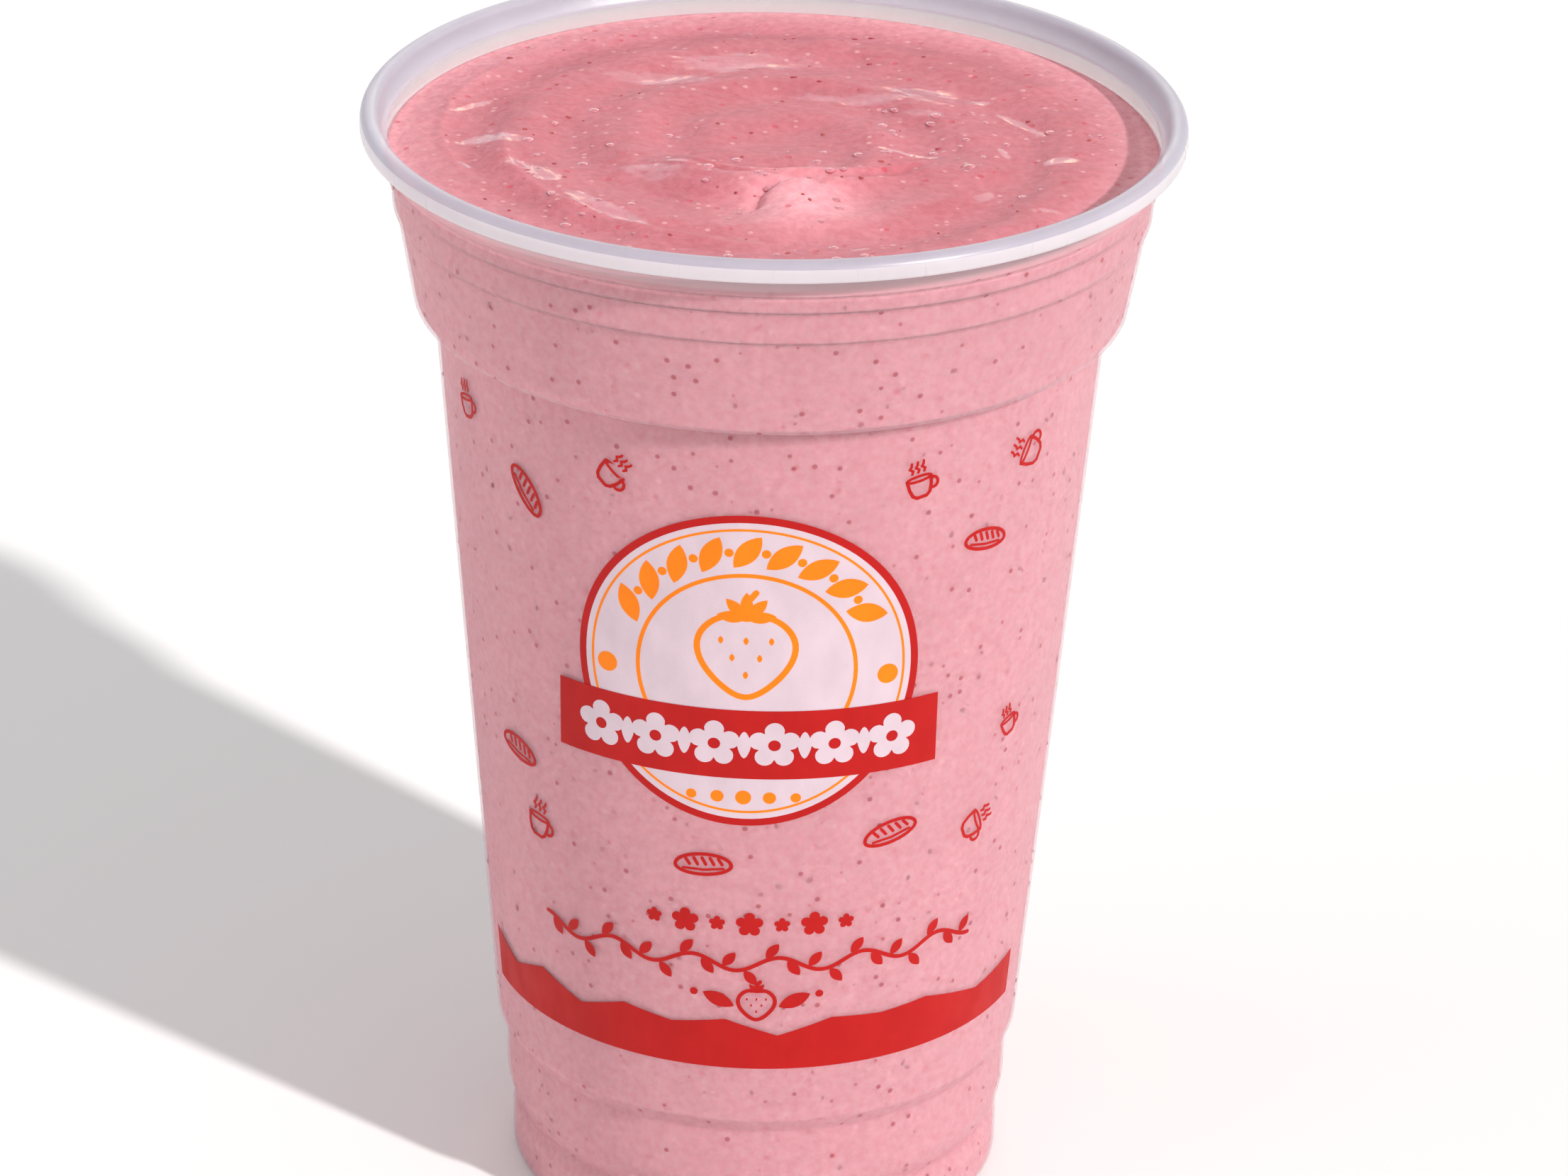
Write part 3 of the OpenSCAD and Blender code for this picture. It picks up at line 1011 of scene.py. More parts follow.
def ink_material(name, colour):
    """Printed ink: faintly uneven in tone and gloss"""
    material, tree, shader = new_material(name, {"IOR": 1.5, "Specular IOR Level": 0.2})
    film = place_group(tree, soft_mottle(), 0, 200, {
        "First Color": colour_value(colour),
        "Second Color": colour_value(shade(colour, 0.88)),
        "Scale": 260, "Stretch": (1, 1, 0.6), "Sharpness": 0.4,
    })
    pinholes = place_group(tree, fine_specks(), 0, -300, {"Scale": 1500, "Size": 0.3, "Share": 0.3})
    link(tree, film, "Color", shader, "Base Color")
    vary(tree, film.outputs["Mask"], 0.45, 0.6, shader.inputs["Roughness"])
    add_bump(tree, pinholes.outputs["Mask"], -0.01 * MM, shader)
    return material


def seed_material(colours):
    """Seeds and bits of skin, from wine red to brown"""
    material, tree, shader = new_material("seed_skin", {"IOR": 1.45})
    tone = place_group(tree, soft_mottle(), 0, 200, {
        "First Color": colour_value(colours.seed),
        "Second Color": colour_value(linear(176, 74, 72)),
        "Scale": 380, "Sharpness": 0.9,
    })
    link(tree, tone, "Color", shader, "Base Color")
    vary(tree, tone.outputs["Mask"], 0.3, 0.5, shader.inputs["Roughness"])
    return material


def bubble_material(colours):
    """Thin pink skin of a bubble"""
    material, tree, shader = new_material("bubble_skin", {
        "Subsurface Weight": 0.3,
        "Subsurface Radius": (1.0, 0.45, 0.4),
        "Subsurface Scale": 1.5 * MM,
        "Coat Weight": 1,
        "Coat Roughness": 0.06,
        "IOR": 1.38,
    })
    tone = place_group(tree, soft_mottle(), 0, 200, {
        "First Color": colour_value(shade(colours.drink_light, 1.08)),
        "Second Color": colour_value(colours.drink),
        "Scale": 700, "Sharpness": 0.8,
    })
    link(tree, tone, "Color", shader, "Base Color")
    vary(tree, tone.outputs["Mask"], 0.15, 0.3, shader.inputs["Roughness"])
    return material


def floor_material(colours):
    """Matt white studio floor"""
    material, tree, shader = new_material("studio_floor", {"Specular IOR Level": 0.1})
    tone = place_group(tree, soft_mottle(), 0, 200, {
        "First Color": colour_value(colours.floor),
        "Second Color": colour_value(shade(colours.floor, 0.995)),
        "Scale": 3, "Sharpness": 0.3,
    })
    link(tree, tone, "Color", shader, "Base Color")
    vary(tree, tone.outputs["Mask"], 0.85, 0.95, shader.inputs["Roughness"])
    return material


def print_finish(colours, ink):
    """The finish of one of the three inks, made once"""
    name = ink + "_ink"
    return bpy.data.materials.get(name) or ink_material(name, getattr(colours, ink))


# ---------------------------------------------------------------- flat shapes of the print


def circle(x, y, radius, steps=48):
    """Outline of a round dot"""
    return arc((x, y), radius, 0, 360 * (steps - 1) / steps, steps - 1)


def stroke(points, width, closed=False):
    """Outlines of a line of even width through points: one if open, two if closed"""
    spots = [Vector(p) for p in points]
    count = len(spots)
    left = []
    right = []
    for i, spot in enumerate(spots):
        before = spots[i - 1] if i or closed else None
        after = spots[(i + 1) % count] if i + 1 < count or closed else None
        ahead = (after - spot).normalized() if after else (spot - before).normalized()
        behind = (spot - before).normalized() if before else ahead
        along = (ahead + behind).normalized()
        widen = min(2, 1 / max(0.3, along.dot(ahead)))
        side = Vector((-along.y, along.x)) * width / 2 * widen
        left.append(tuple(spot + side))
        right.append(tuple(spot - side))
    if closed:
        return [left, right]
    first = spots[0] - spots[1]
    last = spots[-1] - spots[-2]
    start = math.degrees(math.atan2(first.y, first.x))
    end = math.degrees(math.atan2(last.y, last.x))
    tail = arc(spots[0], width / 2, start - 90, start + 90, 6)[1:-1]
    head = arc(spots[-1], width / 2, end - 90, end + 90, 6)[1:-1]
    return [left[::-1] + tail + right + head]


def leaf(x, y, length, width, angle, steps=10):
    """Outline of a pointed oval about its middle"""
    direction = math.radians(angle)
    outline = []
    for side in (1, -1):
        for i in range(steps):
            share = i / steps if side > 0 else 1 - i / steps
            along = (share - 0.5) * length
            across = side * width / 2 * math.sin(math.pi * share) ** 0.8
            outline.append((x + along * math.cos(direction) - across * math.sin(direction),
                            y + along * math.sin(direction) + across * math.cos(direction)))
    return outline


def blossom(x, y, radius, petals=5, turn=90):
    """Outline of a flower with round petals"""
    outline = []
    for i in range(petals * 10):
        angle = TURN * i / (petals * 10)
        reach = radius * (0.62 + 0.38 * abs(math.cos(petals * angle / 2)) ** 0.7)
        bearing = angle + math.radians(turn)
        outline.append((x + reach * math.cos(bearing), y + reach * math.sin(bearing)))
    return outline


def placed(outlines, x, y, angle):
    """Outlines turned about the origin, then moved"""
    cosine = math.cos(math.radians(angle))
    sine = math.sin(math.radians(angle))
    return [[(x + u * cosine - v * sine, y + u * sine + v * cosine) for u, v in outline]
            for outline in outlines]


def loaf_shape(length, line):
    """A small loaf with slanting cuts, as a list of shapes"""
    half = length / 2
    body = []
    for i in range(36):
        angle = TURN * i / 36
        tall = 0.47 if math.sin(angle) > 0 else 0.36
        body.append((half * math.cos(angle), half * tall * math.sin(angle)))
    shapes = [stroke(body, line, closed=True)]
    for cut in range(5):
        x = half * (-0.6 + 0.29 * cut)
        top = half * 0.4 * math.sqrt(max(0, 1 - (x / half) ** 2))
        shapes.append(stroke([(x, top * 0.8), (x + 0.12 * half, 0.05 * half)], line * 0.9))
    shapes.append(stroke([(-half * 0.72, -half * 0.12), (0, -half * 0.17),
                          (half * 0.72, -half * 0.12)], line * 0.7))
    return shapes


def mug_shape(width, line):
    """A small steaming mug, as a list of shapes"""
    half = width / 2
    body = [(-half, half * 0.75), (-half * 0.92, 0), (-half * 0.72, -half * 0.6),
            (-half * 0.4, -half * 0.85), (half * 0.4, -half * 0.85), (half * 0.72, -half * 0.6),
            (half * 0.92, 0), (half, half * 0.75)]
    handle = arc((half * 1.05, half * 0.1), half * 0.45, 110, -110, 10)
    brim = [(half * math.cos(TURN * i / 20), half * (0.75 + 0.22 * math.sin(TURN * i / 20)))
            for i in range(20)]
    shapes = [stroke(body, line), stroke(handle, line * 0.9), stroke(brim, line * 0.8, closed=True)]
    for tick in (-1, 0, 1):
        wisp = [(half * (0.5 * tick + 0.14 * math.sin(2.2 * k)), half * (1.3 + 0.22 * k))
                for k in range(5)]
        shapes.append(stroke(wisp, line * 0.75))
    return shapes


def berry_shape(height, line):
    """A simple strawberry in outline: body, crown, stalk and seeds"""
    body = []
    for i in range(48):
        angle = TURN * i / 48
        side = math.sin(angle)
        rise = math.cos(angle)
        wide = 0.42 + 0.1 * rise - 0.06 * rise * rise
        dip = 0.06 * math.exp(-(side / 0.3) ** 2) if rise > 0 else 0
        body.append((height * wide * side, height * (0.42 * rise - dip - 0.06)))
    shapes = [stroke(body, line, closed=True)]
    for angle in (-62, -32, 0, 32, 62):
        direction = math.radians(90 + angle * 1.35)
        x = height * 0.13 * math.cos(direction)
        y = height * (0.34 + 0.13 * math.sin(direction)) - height * 0.04
        shapes.append([leaf(x, y, height * 0.26, height * 0.11, 90 + angle * 1.35)])
    shapes.append(stroke([(0, height * 0.36), (height * 0.02, height * 0.48),
                          (height * 0.08, height * 0.56)], line))
    for row, places in enumerate([(-0.22, 0, 0.22), (-0.12, 0.12), (0,)]):
        for place in places:
            shapes.append([leaf(height * place, height * (0.08 - 0.17 * row),
                                height * 0.075, height * 0.045, 90)])
    return shapes


def wrap_shapes(name, cup, shapes, layer, fine=False):
    """Flat shapes wrapped on the tapering wall as one thin film; a shape is a list of outlines"""
    flat = bmesh.new()
    for shape in shapes:
        edges = []
        for outline in shape:
            spots = [flat.verts.new((x, y, 0)) for x, y in outline]
            edges += [flat.edges.new((spots[i - 1], spots[i])) for i in range(len(spots))]
        bmesh.ops.triangle_fill(flat, use_beauty=True, use_dissolve=False, edges=edges)
    if fine:
        across = [v.co.x for v in flat.verts]
        upward = [v.co.y for v in flat.verts]
        cuts = [((x, 0, 0), (1, 0, 0)) for x in np.arange(min(across), max(across), WRAP_STEP)[1:]]
        cuts += [((0, y, 0), (0, 1, 0)) for y in np.arange(min(upward), max(upward), WRAP_ROW)[1:]]
        for point, normal in cuts:
            parts = flat.verts[:] + flat.edges[:] + flat.faces[:]
            bmesh.ops.bisect_plane(flat, geom=parts, plane_co=point, plane_no=normal)
    flat.normal_update()
    bmesh.ops.reverse_faces(flat, faces=[f for f in flat.faces if f.normal.z < 0])
    for edge in flat.edges:
        edge.smooth = not edge.is_boundary
    for vert in flat.verts:
        height = vert.co.y
        radius = outer_radius(cup, height)
        angle = vert.co.x / radius
        reach = radius + INK_STEP * layer
        vert.co = (reach * math.sin(angle), -reach * math.cos(angle), height)
    mesh = bpy.data.meshes.new(name)
    flat.to_mesh(mesh)
    flat.free()
    mesh.polygons.foreach_set("use_smooth", [True] * len(mesh.polygons))
    piece = bpy.data.objects.new(name, mesh)
    piece.visible_shadow = False
    bpy.context.scene.collection.objects.link(piece)
    film = piece.modifiers.new("film", "SOLIDIFY")
    film.thickness = INK_THICKNESS
    film.offset = 1
    return piece


def add_print(context, name, shapes, layer, ink, fine=False):
    """One piece of the print in one of the three inks"""
    values = settings(context)
    piece = wrap_shapes(name, values.cup, shapes, layer, fine)
    piece.data.materials.append(print_finish(values.colours, ink))
    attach(piece, "root")
    return piece


# ---------------------------------------------------------------- operators


class SMOOTHIE_OT_stage(Operator):
    """Make the floor, the lights and the camera"""

    bl_idname = "smoothie.make_stage"
    bl_label = "Stage"

    FLOOR_REACH = 12        # metres from the middle to the floor's edge
    KEY_SPREAD = math.radians(2.2)
    KEY_COLOUR = (1, 0.98, 0.96)
    SKY_COLOUR = (0.97, 0.98, 1, 1)

    # Light panels: name, place, what it faces, width and height, energy, colour
    PANELS = [
        ("left_fill", (-0.9, -0.35, 0.3), (0, 0, 0.08), (0.8, 0.8), 2.7, (1, 1, 1)),
        ("back_sheen", (-0.1, 1.5, 0.85), (0, 0, 0.13), (1.2, 1.1), 4.4, (0.94, 0.96, 1)),
        ("right_glint", (0.1, 1.38, 0.67), (0, 0, 0.13), (0.11, 0.26), 0.4, (1, 0.62, 0.3)),
        ("left_glint", (-0.105, 1.38, 0.66), (0, 0, 0.13), (0.05, 0.2), 0.1, (1, 0.62, 0.3)),
    ]

    def execute(self, context):
        values = settings(context)
        stage = values.stage
        self.make_camera(context, stage)
        self.make_floor(context, values.colours)
        self.make_lights(context, stage)
        context.scene.view_settings.view_transform = "Standard"
        return {"FINISHED"}

    def make_camera(self, context, stage):
        data = bpy.data.cameras.new("camera")
        data.lens = stage.camera_lens
        data.sensor_width = 36
        data.clip_start = 0.01
        data.clip_end = 100
        camera = bpy.data.objects.new("camera", data)
        pitch = stage.camera_pitch
        yaw = stage.camera_yaw
        ahead = Vector((math.sin(yaw) * math.cos(pitch), math.cos(yaw) * math.cos(pitch),
                        -math.sin(pitch)))
        level = Vector((math.cos(yaw), -math.sin(yaw), 0))
        upward = level.cross(ahead)
        lean = math.cos(stage.camera_roll)
        tilt = math.sin(stage.camera_roll)
        right = lean * level + tilt * upward
        top = lean * upward - tilt * level
        turn = Matrix((right, top, -ahead)).transposed()
        camera.matrix_world = Matrix.Translation((0, -stage.camera_distance, stage.camera_height)) \
            @ turn.to_4x4()
        context.scene.collection.objects.link(camera)
        context.scene.camera = camera

    def make_floor(self, context, colours):
        reach = self.FLOOR_REACH
        corners = [(-reach, -reach, 0), (reach, -reach, 0), (reach, reach, 0), (-reach, reach, 0)]
        floor = new_piece("floor", corners, [(0, 1, 2, 3)], smooth=False)
        floor.data.materials.append(floor_material(colours))

    def make_lights(self, context, stage):
        world = bpy.data.worlds.new("sky")
        world.use_nodes = True
        sky = world.node_tree.nodes["Background"]
        set_inputs(sky, {"Color": self.SKY_COLOUR, "Strength": stage.sky_strength})
        context.scene.world = world
        reach = math.cos(stage.key_elevation)
        towards = Vector((reach * math.cos(stage.key_direction),
                          reach * math.sin(stage.key_direction), math.sin(stage.key_elevation)))
        key = bpy.data.lights.new("key", "SUN")
        key.energy = stage.key_strength
        key.angle = self.KEY_SPREAD
        key.color = self.KEY_COLOUR
        sun = bpy.data.objects.new("key", key)
        sun.rotation_euler = towards.to_track_quat("Z", "Y").to_euler()
        context.scene.collection.objects.link(sun)
        for panel in self.PANELS:
            self.add_panel(context, *panel)

    def add_panel(self, context, name, place, target, size, energy, colour):
        data = bpy.data.lights.new(name, "AREA")
        data.shape = "RECTANGLE"
        data.size = size[0]
        data.size_y = size[1]
        data.energy = energy
        data.color = colour
        panel = bpy.data.objects.new(name, data)
        panel.location = place
        panel.rotation_euler = (Vector(place) - Vector(target)).to_track_quat("Z", "Y").to_euler()
        panel.visible_camera = False
        context.scene.collection.objects.link(panel)


class SMOOTHIE_OT_cup(Operator):
    """Make the cup, one closed wall turned round the centre line"""

    bl_idname = "smoothie.make_cup"
    bl_label = "Cup"

    # The wall's finishes, by face: material, its colour's name, alpha and roughness
    FINISHES = [("milky_wall", "plastic", 0.32, 0.36), ("bare_wall", "bare", 0.45, 0.34),
                ("thick_rim", "rim", 0.75, 0.32), ("rim_edge", "rim_edge", 0.85, 0.3)]
    EDGE_FINISH = 3         # the finish of the rim's outer face, lighter as a painted highlight

    def execute(self, context):
        values = settings(context)
        cup = values.cup
        outline = cup_outline(cup)
        rings = turned(outline[1:-1], CUP_SEGMENTS)
        points, faces = closed_rings((0, 0, outline[0][1]), rings, (0, 0, outline[-1][1]))
        piece = new_piece("cup_wall", points, faces)
        colours = values.colours
        for name, colour, alpha, roughness in self.FINISHES:
            # The wall's stain, a film of drink, takes the same pale pink as the drink's painted glow
            finish = plastic_material(name, getattr(colours, colour), colours.foam, alpha, roughness)
            piece.data.materials.append(finish)
            if name == "milky_wall":
                show_drink(finish, colours.speck, alpha)
        drink_level = cup.height - values.drink.fill_depth
        rim_level = levels(cup)["rings_top"] - RING_CORNER
        edge_level = cup.height - 0.55 * cup.rim_roll
        for face in piece.data.polygons:
            place = face.center
            outside = math.hypot(place.x, place.y) > cup.rim_radius - cup.rim_roll
            face.material_index = int(place.z > drink_level) + int(place.z > rim_level)
            # The rim's outer face takes the lighter finish, a painted highlight
            if outside and rim_level < place.z < edge_level:
                face.material_index = self.EDGE_FINISH
        above = (points[:, 2] - drink_level) / STAIN_HEIGHT
        add_mask(piece, "stain", STAIN_SHARE * np.where(above < 0, 0, np.clip(1 - above, 0, 1)))
        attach(piece, "root")
        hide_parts("cup")
        return {"FINISHED"}


class SMOOTHIE_OT_drink(Operator):
    """Make the drink, which reaches just into the cup's wall"""

    bl_idname = "smoothie.make_drink"
    bl_label = "Drink"

    def execute(self, context):
        values = settings(context)
        cup = values.cup
        drink = values.drink
        reach = drink.wall_reach
        radius = radii(cup)
        level = levels(cup)
        contact = cup.height - drink.fill_depth + CAP_LIFT + drink.climb_height
        side = [corner for corner in inner_corners(cup, cup.wall - reach)
                if corner[1] < contact - EDGE_ROOM]
        bottom = [
            (0, level["floor_top"] - reach, 0),
            (radius["hollow"], level["floor_top"] - reach, FOOT_CORNER),
            (radius["land"], cup.floor_thickness - reach, FOOT_CORNER),
            (radius["foot"] - cup.wall + reach, cup.floor_thickness - reach, cup.foot_fillet),
        ]
        edge = bore_radius(cup, contact) + TOP_REACH
        outline = self.split_long(rounded([*bottom, *side, (edge, contact, 0)]))
        rings = turned(outline[1:], DRINK_SEGMENTS)
        inward = np.concatenate([
            edge - drink.climb_width * 3 * np.arange(1, EDGE_ROWS + 1) / EDGE_ROWS,
            np.linspace(edge - drink.climb_width * 3, 0, DRINK_ROWS + 1)[1:-1],
        ])
        top = turned([(r, 0) for r in inward], DRINK_SEGMENTS)
        top[..., 2] = surface_height(cup, drink, top[..., 0], top[..., 1])
        middle = height_at(cup, drink, 0.0, 0.0)
        points, faces = closed_rings((0, 0, outline[0][1]), np.concatenate([rings, top]),
                                     (0, 0, middle))
        piece = new_piece("smoothie_drink", points, faces)
        x = points[:, 0]
        y = points[:, 1]
        on_top = points[:, 2] > contact - drink.climb_height - RELIEF_DEPTH
        add_mask(piece, "wet", wetness(x, y) * on_top)
        # Painted light on top: paler on the lit peak and near the wall; the side against the wall is
        # made evenly paler
        foam = painted_glow(cup, drink, x, y)
        add_mask(piece, "foam", np.where(on_top, foam, SIDE_PALENESS))
        piece.data.materials.append(drink_material(values.colours))
        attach(piece, "root")
        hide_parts("smoothie")
        return {"FINISHED"}

    def split_long(self, outline):
        """Adds points where the side runs straight for long"""
        result = [outline[0]]
        for start, end in zip(outline, outline[1:]):
            count = max(1, math.ceil(math.dist(start, end) / SIDE_STEP)) if start[0] else 1
            result += [(start[0] + (end[0] - start[0]) * k / count,
                        start[1] + (end[1] - start[1]) * k / count) for k in range(1, count + 1)]
        return result


def small_ball(centre, sizes, turn, rows=5, columns=8):
    """Points and faces of an egg-shaped grain; turn is a 3 by 3 matrix"""
    outline = [(math.sin(math.pi * k / rows), -math.cos(math.pi * k / rows))
               for k in range(1, rows)]
    rings = turned(outline, columns)
    points, faces = closed_rings((0, 0, -1), rings, (0, 0, 1))
    shaped = (points * np.array(sizes)) @ np.array(turn).T + np.array(centre)
    return shaped, faces


class SMOOTHIE_OT_seeds(Operator):
    """Scatter the seeds and specks of skin over the drink's surface and against the wall"""

    bl_idname = "smoothie.make_seeds"
    bl_label = "Seeds"

    SEED = 21
    WALL_MARGIN = 3 * MM        # width without seeds along the wall, on top
    FLOOR_MARGIN = 4 * MM       # height without seeds over the floor, at the side
    LEVEL_MARGIN = 1.5 * MM     # height without seeds under the surface, at the side
    STAND_OUT = 0.06 * MM       # how far a seed's middle lies outside the drink's side
    THICKEST = 0.12 * MM        # half the greatest thickness of a seed

    def execute(self, context):
        values = settings(context)
        cup = values.cup
        drink = values.drink
        draw = random.Random(self.SEED)
        grains = []
        for _ in range(drink.top_seeds):
            distance = (bore_radius(cup, cup.height) - self.WALL_MARGIN) * math.sqrt(draw.random())
            angle = draw.uniform(0, TURN)
            x = distance * math.cos(angle)
            y = distance * math.sin(angle)
            z = height_at(cup, drink, x, y)
            grains.append(self.grain(draw, drink, (x, y, z), draw.uniform(0, TURN), 0, 0))
        low = levels(cup)["floor_top"] + self.FLOOR_MARGIN
        high = cup.height - drink.fill_depth - self.LEVEL_MARGIN
        for _ in range(drink.side_seeds):
            angle = draw.uniform(0, TURN)
            z = draw.uniform(low, high)
            distance = bore_radius(cup, z) + drink.wall_reach + self.STAND_OUT
            centre = (distance * math.cos(angle), distance * math.sin(angle), z)
            grains.append(self.grain(draw, drink, centre, draw.uniform(0, TURN), math.pi / 2, angle))
        points, faces = merged(grains)
        piece = new_piece("smoothie_seeds", points, faces)
        piece.data.materials.append(seed_material(values.colours))
        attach(piece, "root")
        return {"FINISHED"}

    def grain(self, draw, drink, centre, spin, tilt, bearing):
        """One seed lying flat in a surface that is tilted and turned"""
        half = drink.seed_length / 2 * draw.uniform(0.3, 1) ** 1.5
        sizes = (half, half * draw.uniform(0.45, 0.8), min(half * 0.4, self.THICKEST))
        turn = Matrix.Rotation(bearing, 3, "Z") @ Matrix.Rotation(tilt, 3, "Y") \
            @ Matrix.Rotation(spin, 3, "Z")
        return small_ball(centre, sizes, turn)


class SMOOTHIE_OT_bubbles(Operator):
    """Scatter small bubbles over the drink's surface"""

    bl_idname = "smoothie.make_bubbles"
    bl_label = "Bubbles"

    SEED = 5
    CLUSTERS = 14
    CLUSTER_SPREAD = 4.5 * MM
    WALL_MARGIN = 2 * MM        # width without bubbles along the wall

    # Outline of a bubble of radius 1: distance from its middle, and height
    OUTLINE = [(1.25, -0.3), (1.15, 0.04), (1.0, 0.12), (0.88, 0.1), (0.78, 0.17), (0.55, 0.27),
               (0.28, 0.33)]

    def execute(self, context):
        values = settings(context)
        cup = values.cup
        drink = values.drink
        draw = random.Random(self.SEED)
        parts = []
        clusters = [(draw.uniform(0, TURN), draw.uniform(10, 38) * MM)
                    for _ in range(self.CLUSTERS)]
        for _ in range(drink.bubbles):
            bearing, distance = draw.choice(clusters)
            x = distance * math.cos(bearing) + draw.gauss(0, self.CLUSTER_SPREAD)
            y = distance * math.sin(bearing) + draw.gauss(0, self.CLUSTER_SPREAD)
            size = drink.bubble_radius * draw.uniform(0.3, 1) ** 1.6
            if math.hypot(x, y) > bore_radius(cup, cup.height - drink.fill_depth) - self.WALL_MARGIN:
                continue
            z = height_at(cup, drink, x, y)
            rings = turned(self.OUTLINE, 16) * size + np.array((x, y, z))
            parts.append(closed_rings((x, y, z - 0.5 * size), rings, (x, y, z + 0.35 * size)))
        points, faces = merged(parts)
        piece = new_piece("smoothie_bubbles", points, faces)
        piece.data.materials.append(bubble_material(values.colours))
        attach(piece, "root")
        return {"FINISHED"}


class SMOOTHIE_OT_badge(Operator):
    """Print the round badge and its banner"""

    bl_idname = "smoothie.make_badge"
    bl_label = "Badge"

    def execute(self, context):
        ink = settings(context).ink
        x = ink.badge_shift
        y = ink.badge_level
        outer = ink.badge_radius
        field = outer - ink.border_width
        banner_y = y - ink.banner_drop
        add_print(context, "print_field", [[circle(x, y, field, 120)]], 1, "white", fine=True)
        add_print(context, "print_border", [[circle(x, y, outer, 120), circle(x, y, field, 120)]],
                  1, "red")
        add_print(context, "print_rings", self.ring_shapes(ink, x, y), 2, "orange")
        half_width = ink.banner_width / 2
        half_height = ink.banner_height / 2
        bar = [(x - half_width, banner_y - half_height), (x + half_width, banner_y - half_height),
               (x + half_width, banner_y + half_height), (x - half_width, banner_y + half_height)]
        add_print(context, "print_banner", [[bar]], 3, "red", fine=True)
        add_print(context, "print_banner_row", self.banner_shapes(ink, x, banner_y), 4, "white")
        return {"FINISHED"}

    OUTER_RING_DEPTH = 1.75 * MM    # from the badge's edge to the outer thin ring
    INNER_RING = 13 * MM            # radius of the inner ring
    LEAVES = 9
    LEAF_SPAN = 124                 # degrees from the wreath's first leaf to its last

    def ring_shapes(self, ink, x, y):
        """Thin rings, a wreath of leaves, a strawberry, two dots and a short row of dots"""
        outer_ring = ink.badge_radius - self.OUTER_RING_DEPTH
        inner_ring = self.INNER_RING
        wreath = (outer_ring + inner_ring) / 2
        shapes = [
            [circle(x, y, outer_ring, 120), circle(x, y, outer_ring - 0.3 * MM, 120)],
            [circle(x, y, inner_ring + 0.25 * MM, 96), circle(x, y, inner_ring - 0.25 * MM, 96)],
        ]
        pitch = self.LEAF_SPAN / (self.LEAVES - 1)
        for i in range(self.LEAVES):
            angle = 90 + self.LEAF_SPAN / 2 - pitch * i
            bearing = math.radians(angle)
            shapes.append([leaf(x + wreath * math.cos(bearing), y + wreath * math.sin(bearing),
                                5.2 * MM, 2.5 * MM, angle - 38)])
            if i < self.LEAVES - 1:
                between = math.radians(angle - pitch / 2)
                shapes.append([circle(x + wreath * math.cos(between), y + wreath * math.sin(between),
                                      0.55 * MM, 16)])
        for side in (-1, 1):
            shapes.append([circle(x + side * 17 * MM, y - 1.1 * MM, 1.3 * MM, 24)])
        for shape in berry_shape(13.5 * MM, 0.75 * MM):
            shapes.append(placed(shape, x, y + 3.2 * MM, 0))
        for i in range(5):
            size = (0.95 - 0.16 * abs(i - 2)) * MM
            shapes.append([circle(x + (i - 2) * 3.1 * MM, y - 17 * MM, size, 20)])
        return shapes

    def banner_shapes(self, ink, x, y):
        """A row of blossoms with dots between them"""
        count = 6
        pitch = (ink.banner_width - 5 * MM) / count
        shapes = []
        for i in range(count):
            place = x + (i - (count - 1) / 2) * pitch
            shapes.append([blossom(place, y, 3.1 * MM), circle(place, y, 0.75 * MM, 20)])
            if i:
                shapes.append([leaf(place - pitch / 2, y, 1.7 * MM, 3.6 * MM, 0)])
        return shapes


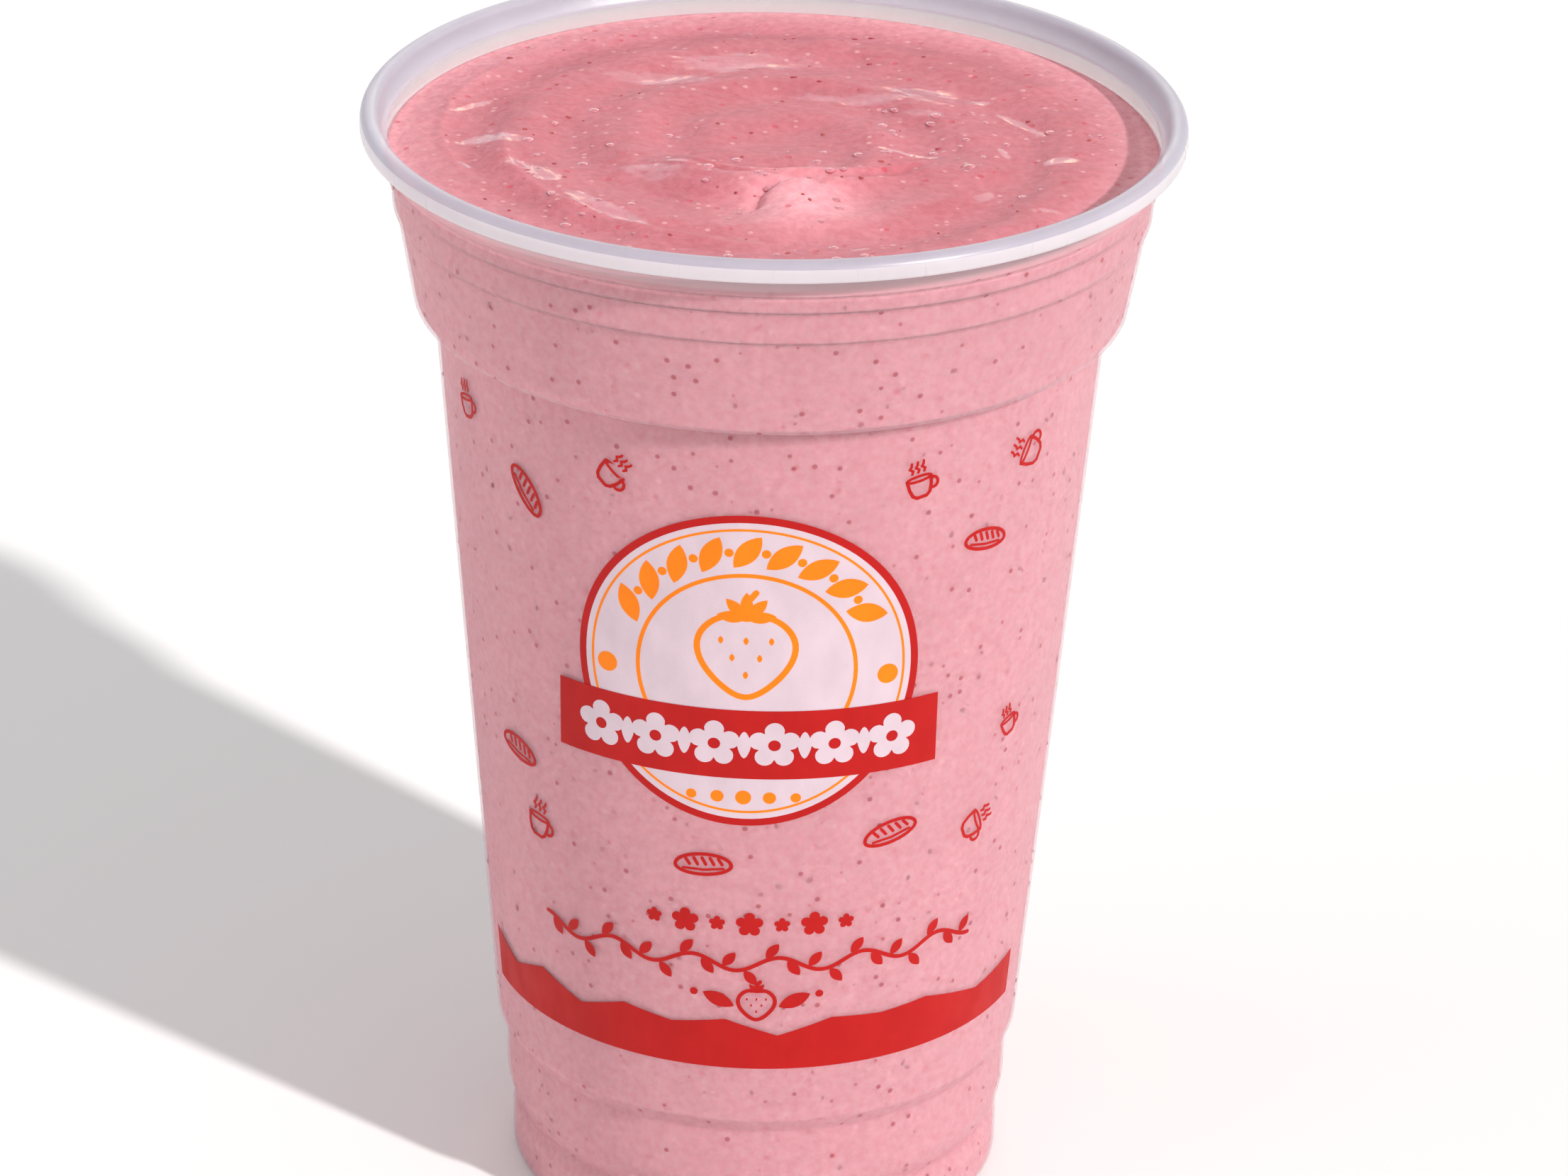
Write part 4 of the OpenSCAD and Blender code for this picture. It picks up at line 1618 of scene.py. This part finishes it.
class SMOOTHIE_OT_pictures(Operator):
    """Print the small loaves, mugs and garlands scattered over the wall"""

    bl_idname = "smoothie.make_pictures"
    bl_label = "Pictures"

    # Place of each small picture: angle from the front, height in millimetres, lean, size
    LOAVES = [(-45.9, 101.4, -50, 1.1), (41.3, 97.2, -8, 1), (-53.4, 64.8, -12, 1.05),
              (25.7, 60.0, 14, 1.1), (-10.8, 56.5, 4, 1.1)]
    MUGS = [(-63.0, 108.0, 12, 1), (-27.4, 107.2, -42, 1), (26.5, 106.6, 10, 1),
            (51.1, 106.7, 62, 1.15), (-48.6, 55.5, -6, 1.1), (53.7, 69.4, 16, 0.85),
            (45.2, 57.5, -70, 1.05)]
    VINE_LENGTH = 57.2 * MM
    VINE_WAVE = 10.4 * MM       # length of one wave of the vine
    VINE_STEPS = 120
    VINE_LEAVES = 22

    def execute(self, context):
        values = settings(context)
        ink = values.ink
        for name, places, draw_one, width, line in (
            ("print_loaves", self.LOAVES, loaf_shape, ink.loaf_length, ink.line_width),
            ("print_mugs", self.MUGS, mug_shape, ink.mug_width, ink.line_width * 0.95),
        ):
            shapes = []
            for angle, level, lean, size in places:
                x = math.radians(angle) * outer_radius(values.cup, level * MM)
                shapes += [placed(shape, x, level * MM, lean) for shape in draw_one(width * size, line)]
            add_print(context, name, shapes, 1, "red")
        add_print(context, "print_garland", self.garland_shapes(), 1, "red")
        return {"FINISHED"}

    def vine_level(self, place):
        """Height of the winding vine at a distance across from the front line"""
        return 43 * MM + 0.95 * MM * math.sin(TURN * place / self.VINE_WAVE)

    def garland_shapes(self):
        """A row of blossoms, a winding vine with leaves, and a berry between two leaves"""
        shapes = []
        for i in range(7):
            place = (i - 3) * 3.9 * MM - 1 * MM
            size = 1.7 * MM if i % 2 else 1.0 * MM
            shapes.append([blossom(place, 48.6 * MM, size)])
        half = self.VINE_LENGTH / 2
        places = [half * (2 * i / self.VINE_STEPS - 1) for i in range(self.VINE_STEPS + 1)]
        shapes.append(stroke([(place, self.vine_level(place)) for place in places], 0.55 * MM))
        for i in range(self.VINE_LEAVES):
            place = half * (2 * (i + 0.5) / self.VINE_LEAVES - 1)
            side = 1 if i % 2 else -1
            y = self.vine_level(place) + side * 1.25 * MM
            shapes.append([leaf(place + 0.5 * MM, y, 2.5 * MM, 1.3 * MM, side * 52)])
        for shape in berry_shape(5.2 * MM, 0.5 * MM):
            shapes.append(placed(shape, 0, 37.6 * MM, 0))
        for side in (-1, 1):
            shapes.append([leaf(side * 4.6 * MM, 37.8 * MM, 4.2 * MM, 1.9 * MM, side * 24)])
            shapes.append([circle(side * 7.6 * MM, 38.6 * MM, 0.5 * MM, 16)])
        return shapes


class SMOOTHIE_OT_band(Operator):
    """Print the jagged band round the front of the foot"""

    bl_idname = "smoothie.make_band"
    bl_label = "Band"

    # Top edge of the band: angle from the front, and height over the band's lower edge in millimetres
    TOP = [(67.8, 6.2), (52.6, 4.8), (37.2, 7.0), (26.6, 6.5), (15.6, 7.0), (4.5, 4.8),
           (-6.3, 7.0), (-17.5, 5.9), (-28.2, 7.0), (-39.1, 4.8), (-50.6, 7.0), (-60.9, 4.8),
           (-71.6, 7.0)]

    def execute(self, context):
        values = settings(context)
        cup = values.cup
        bottom = values.ink.band_bottom
        outline = [(math.radians(self.TOP[-1][0]), 0), (math.radians(self.TOP[0][0]), 0)]
        outline += [(math.radians(angle), rise * MM) for angle, rise in self.TOP]
        flat = [(angle * outer_radius(cup, bottom + rise), bottom + rise) for angle, rise in outline]
        add_print(context, "print_band", [[flat]], 1, "red", fine=True)
        return {"FINISHED"}


OPERATORS = (
    SMOOTHIE_OT_stage,
    SMOOTHIE_OT_cup,
    SMOOTHIE_OT_drink,
    SMOOTHIE_OT_seeds,
    SMOOTHIE_OT_bubbles,
    SMOOTHIE_OT_badge,
    SMOOTHIE_OT_pictures,
    SMOOTHIE_OT_band,
)


class SMOOTHIE_PT_panel(Panel):
    """Sidebar panel that lists the steps and the settings"""

    bl_idname = "SMOOTHIE_PT_panel"
    bl_label = "Smoothie"
    bl_space_type = "VIEW_3D"
    bl_region_type = "UI"
    bl_category = "Smoothie"

    def draw(self, context):
        for operator in OPERATORS:
            self.layout.operator(operator.bl_idname)
        values = settings(context)
        for group in (values.cup, values.drink, values.ink, values.colours, values.stage):
            box = self.layout.box()
            for name in group.__annotations__:
                box.prop(group, name)


CLASSES = (
    CupSizes,
    DrinkSizes,
    PrintSizes,
    FinishColours,
    StageSettings,
    SmoothieSettings,
    *OPERATORS,
    SMOOTHIE_PT_panel,
)


def register():
    """Registers the classes and the settings"""
    for cls in CLASSES:
        bpy.utils.register_class(cls)
    bpy.types.Scene.smoothie_settings = PointerProperty(type=SmoothieSettings)


def unregister():
    """Removes the settings and the classes"""
    del bpy.types.Scene.smoothie_settings
    for cls in reversed(CLASSES):
        bpy.utils.unregister_class(cls)


def main():
    """Builds everything in order"""
    register()
    bpy.ops.smoothie.make_stage()
    bpy.ops.smoothie.make_cup()
    bpy.ops.smoothie.make_drink()
    bpy.ops.smoothie.make_seeds()
    bpy.ops.smoothie.make_bubbles()
    bpy.ops.smoothie.make_badge()
    bpy.ops.smoothie.make_pictures()
    bpy.ops.smoothie.make_band()


if __name__ == "__main__":
    main()
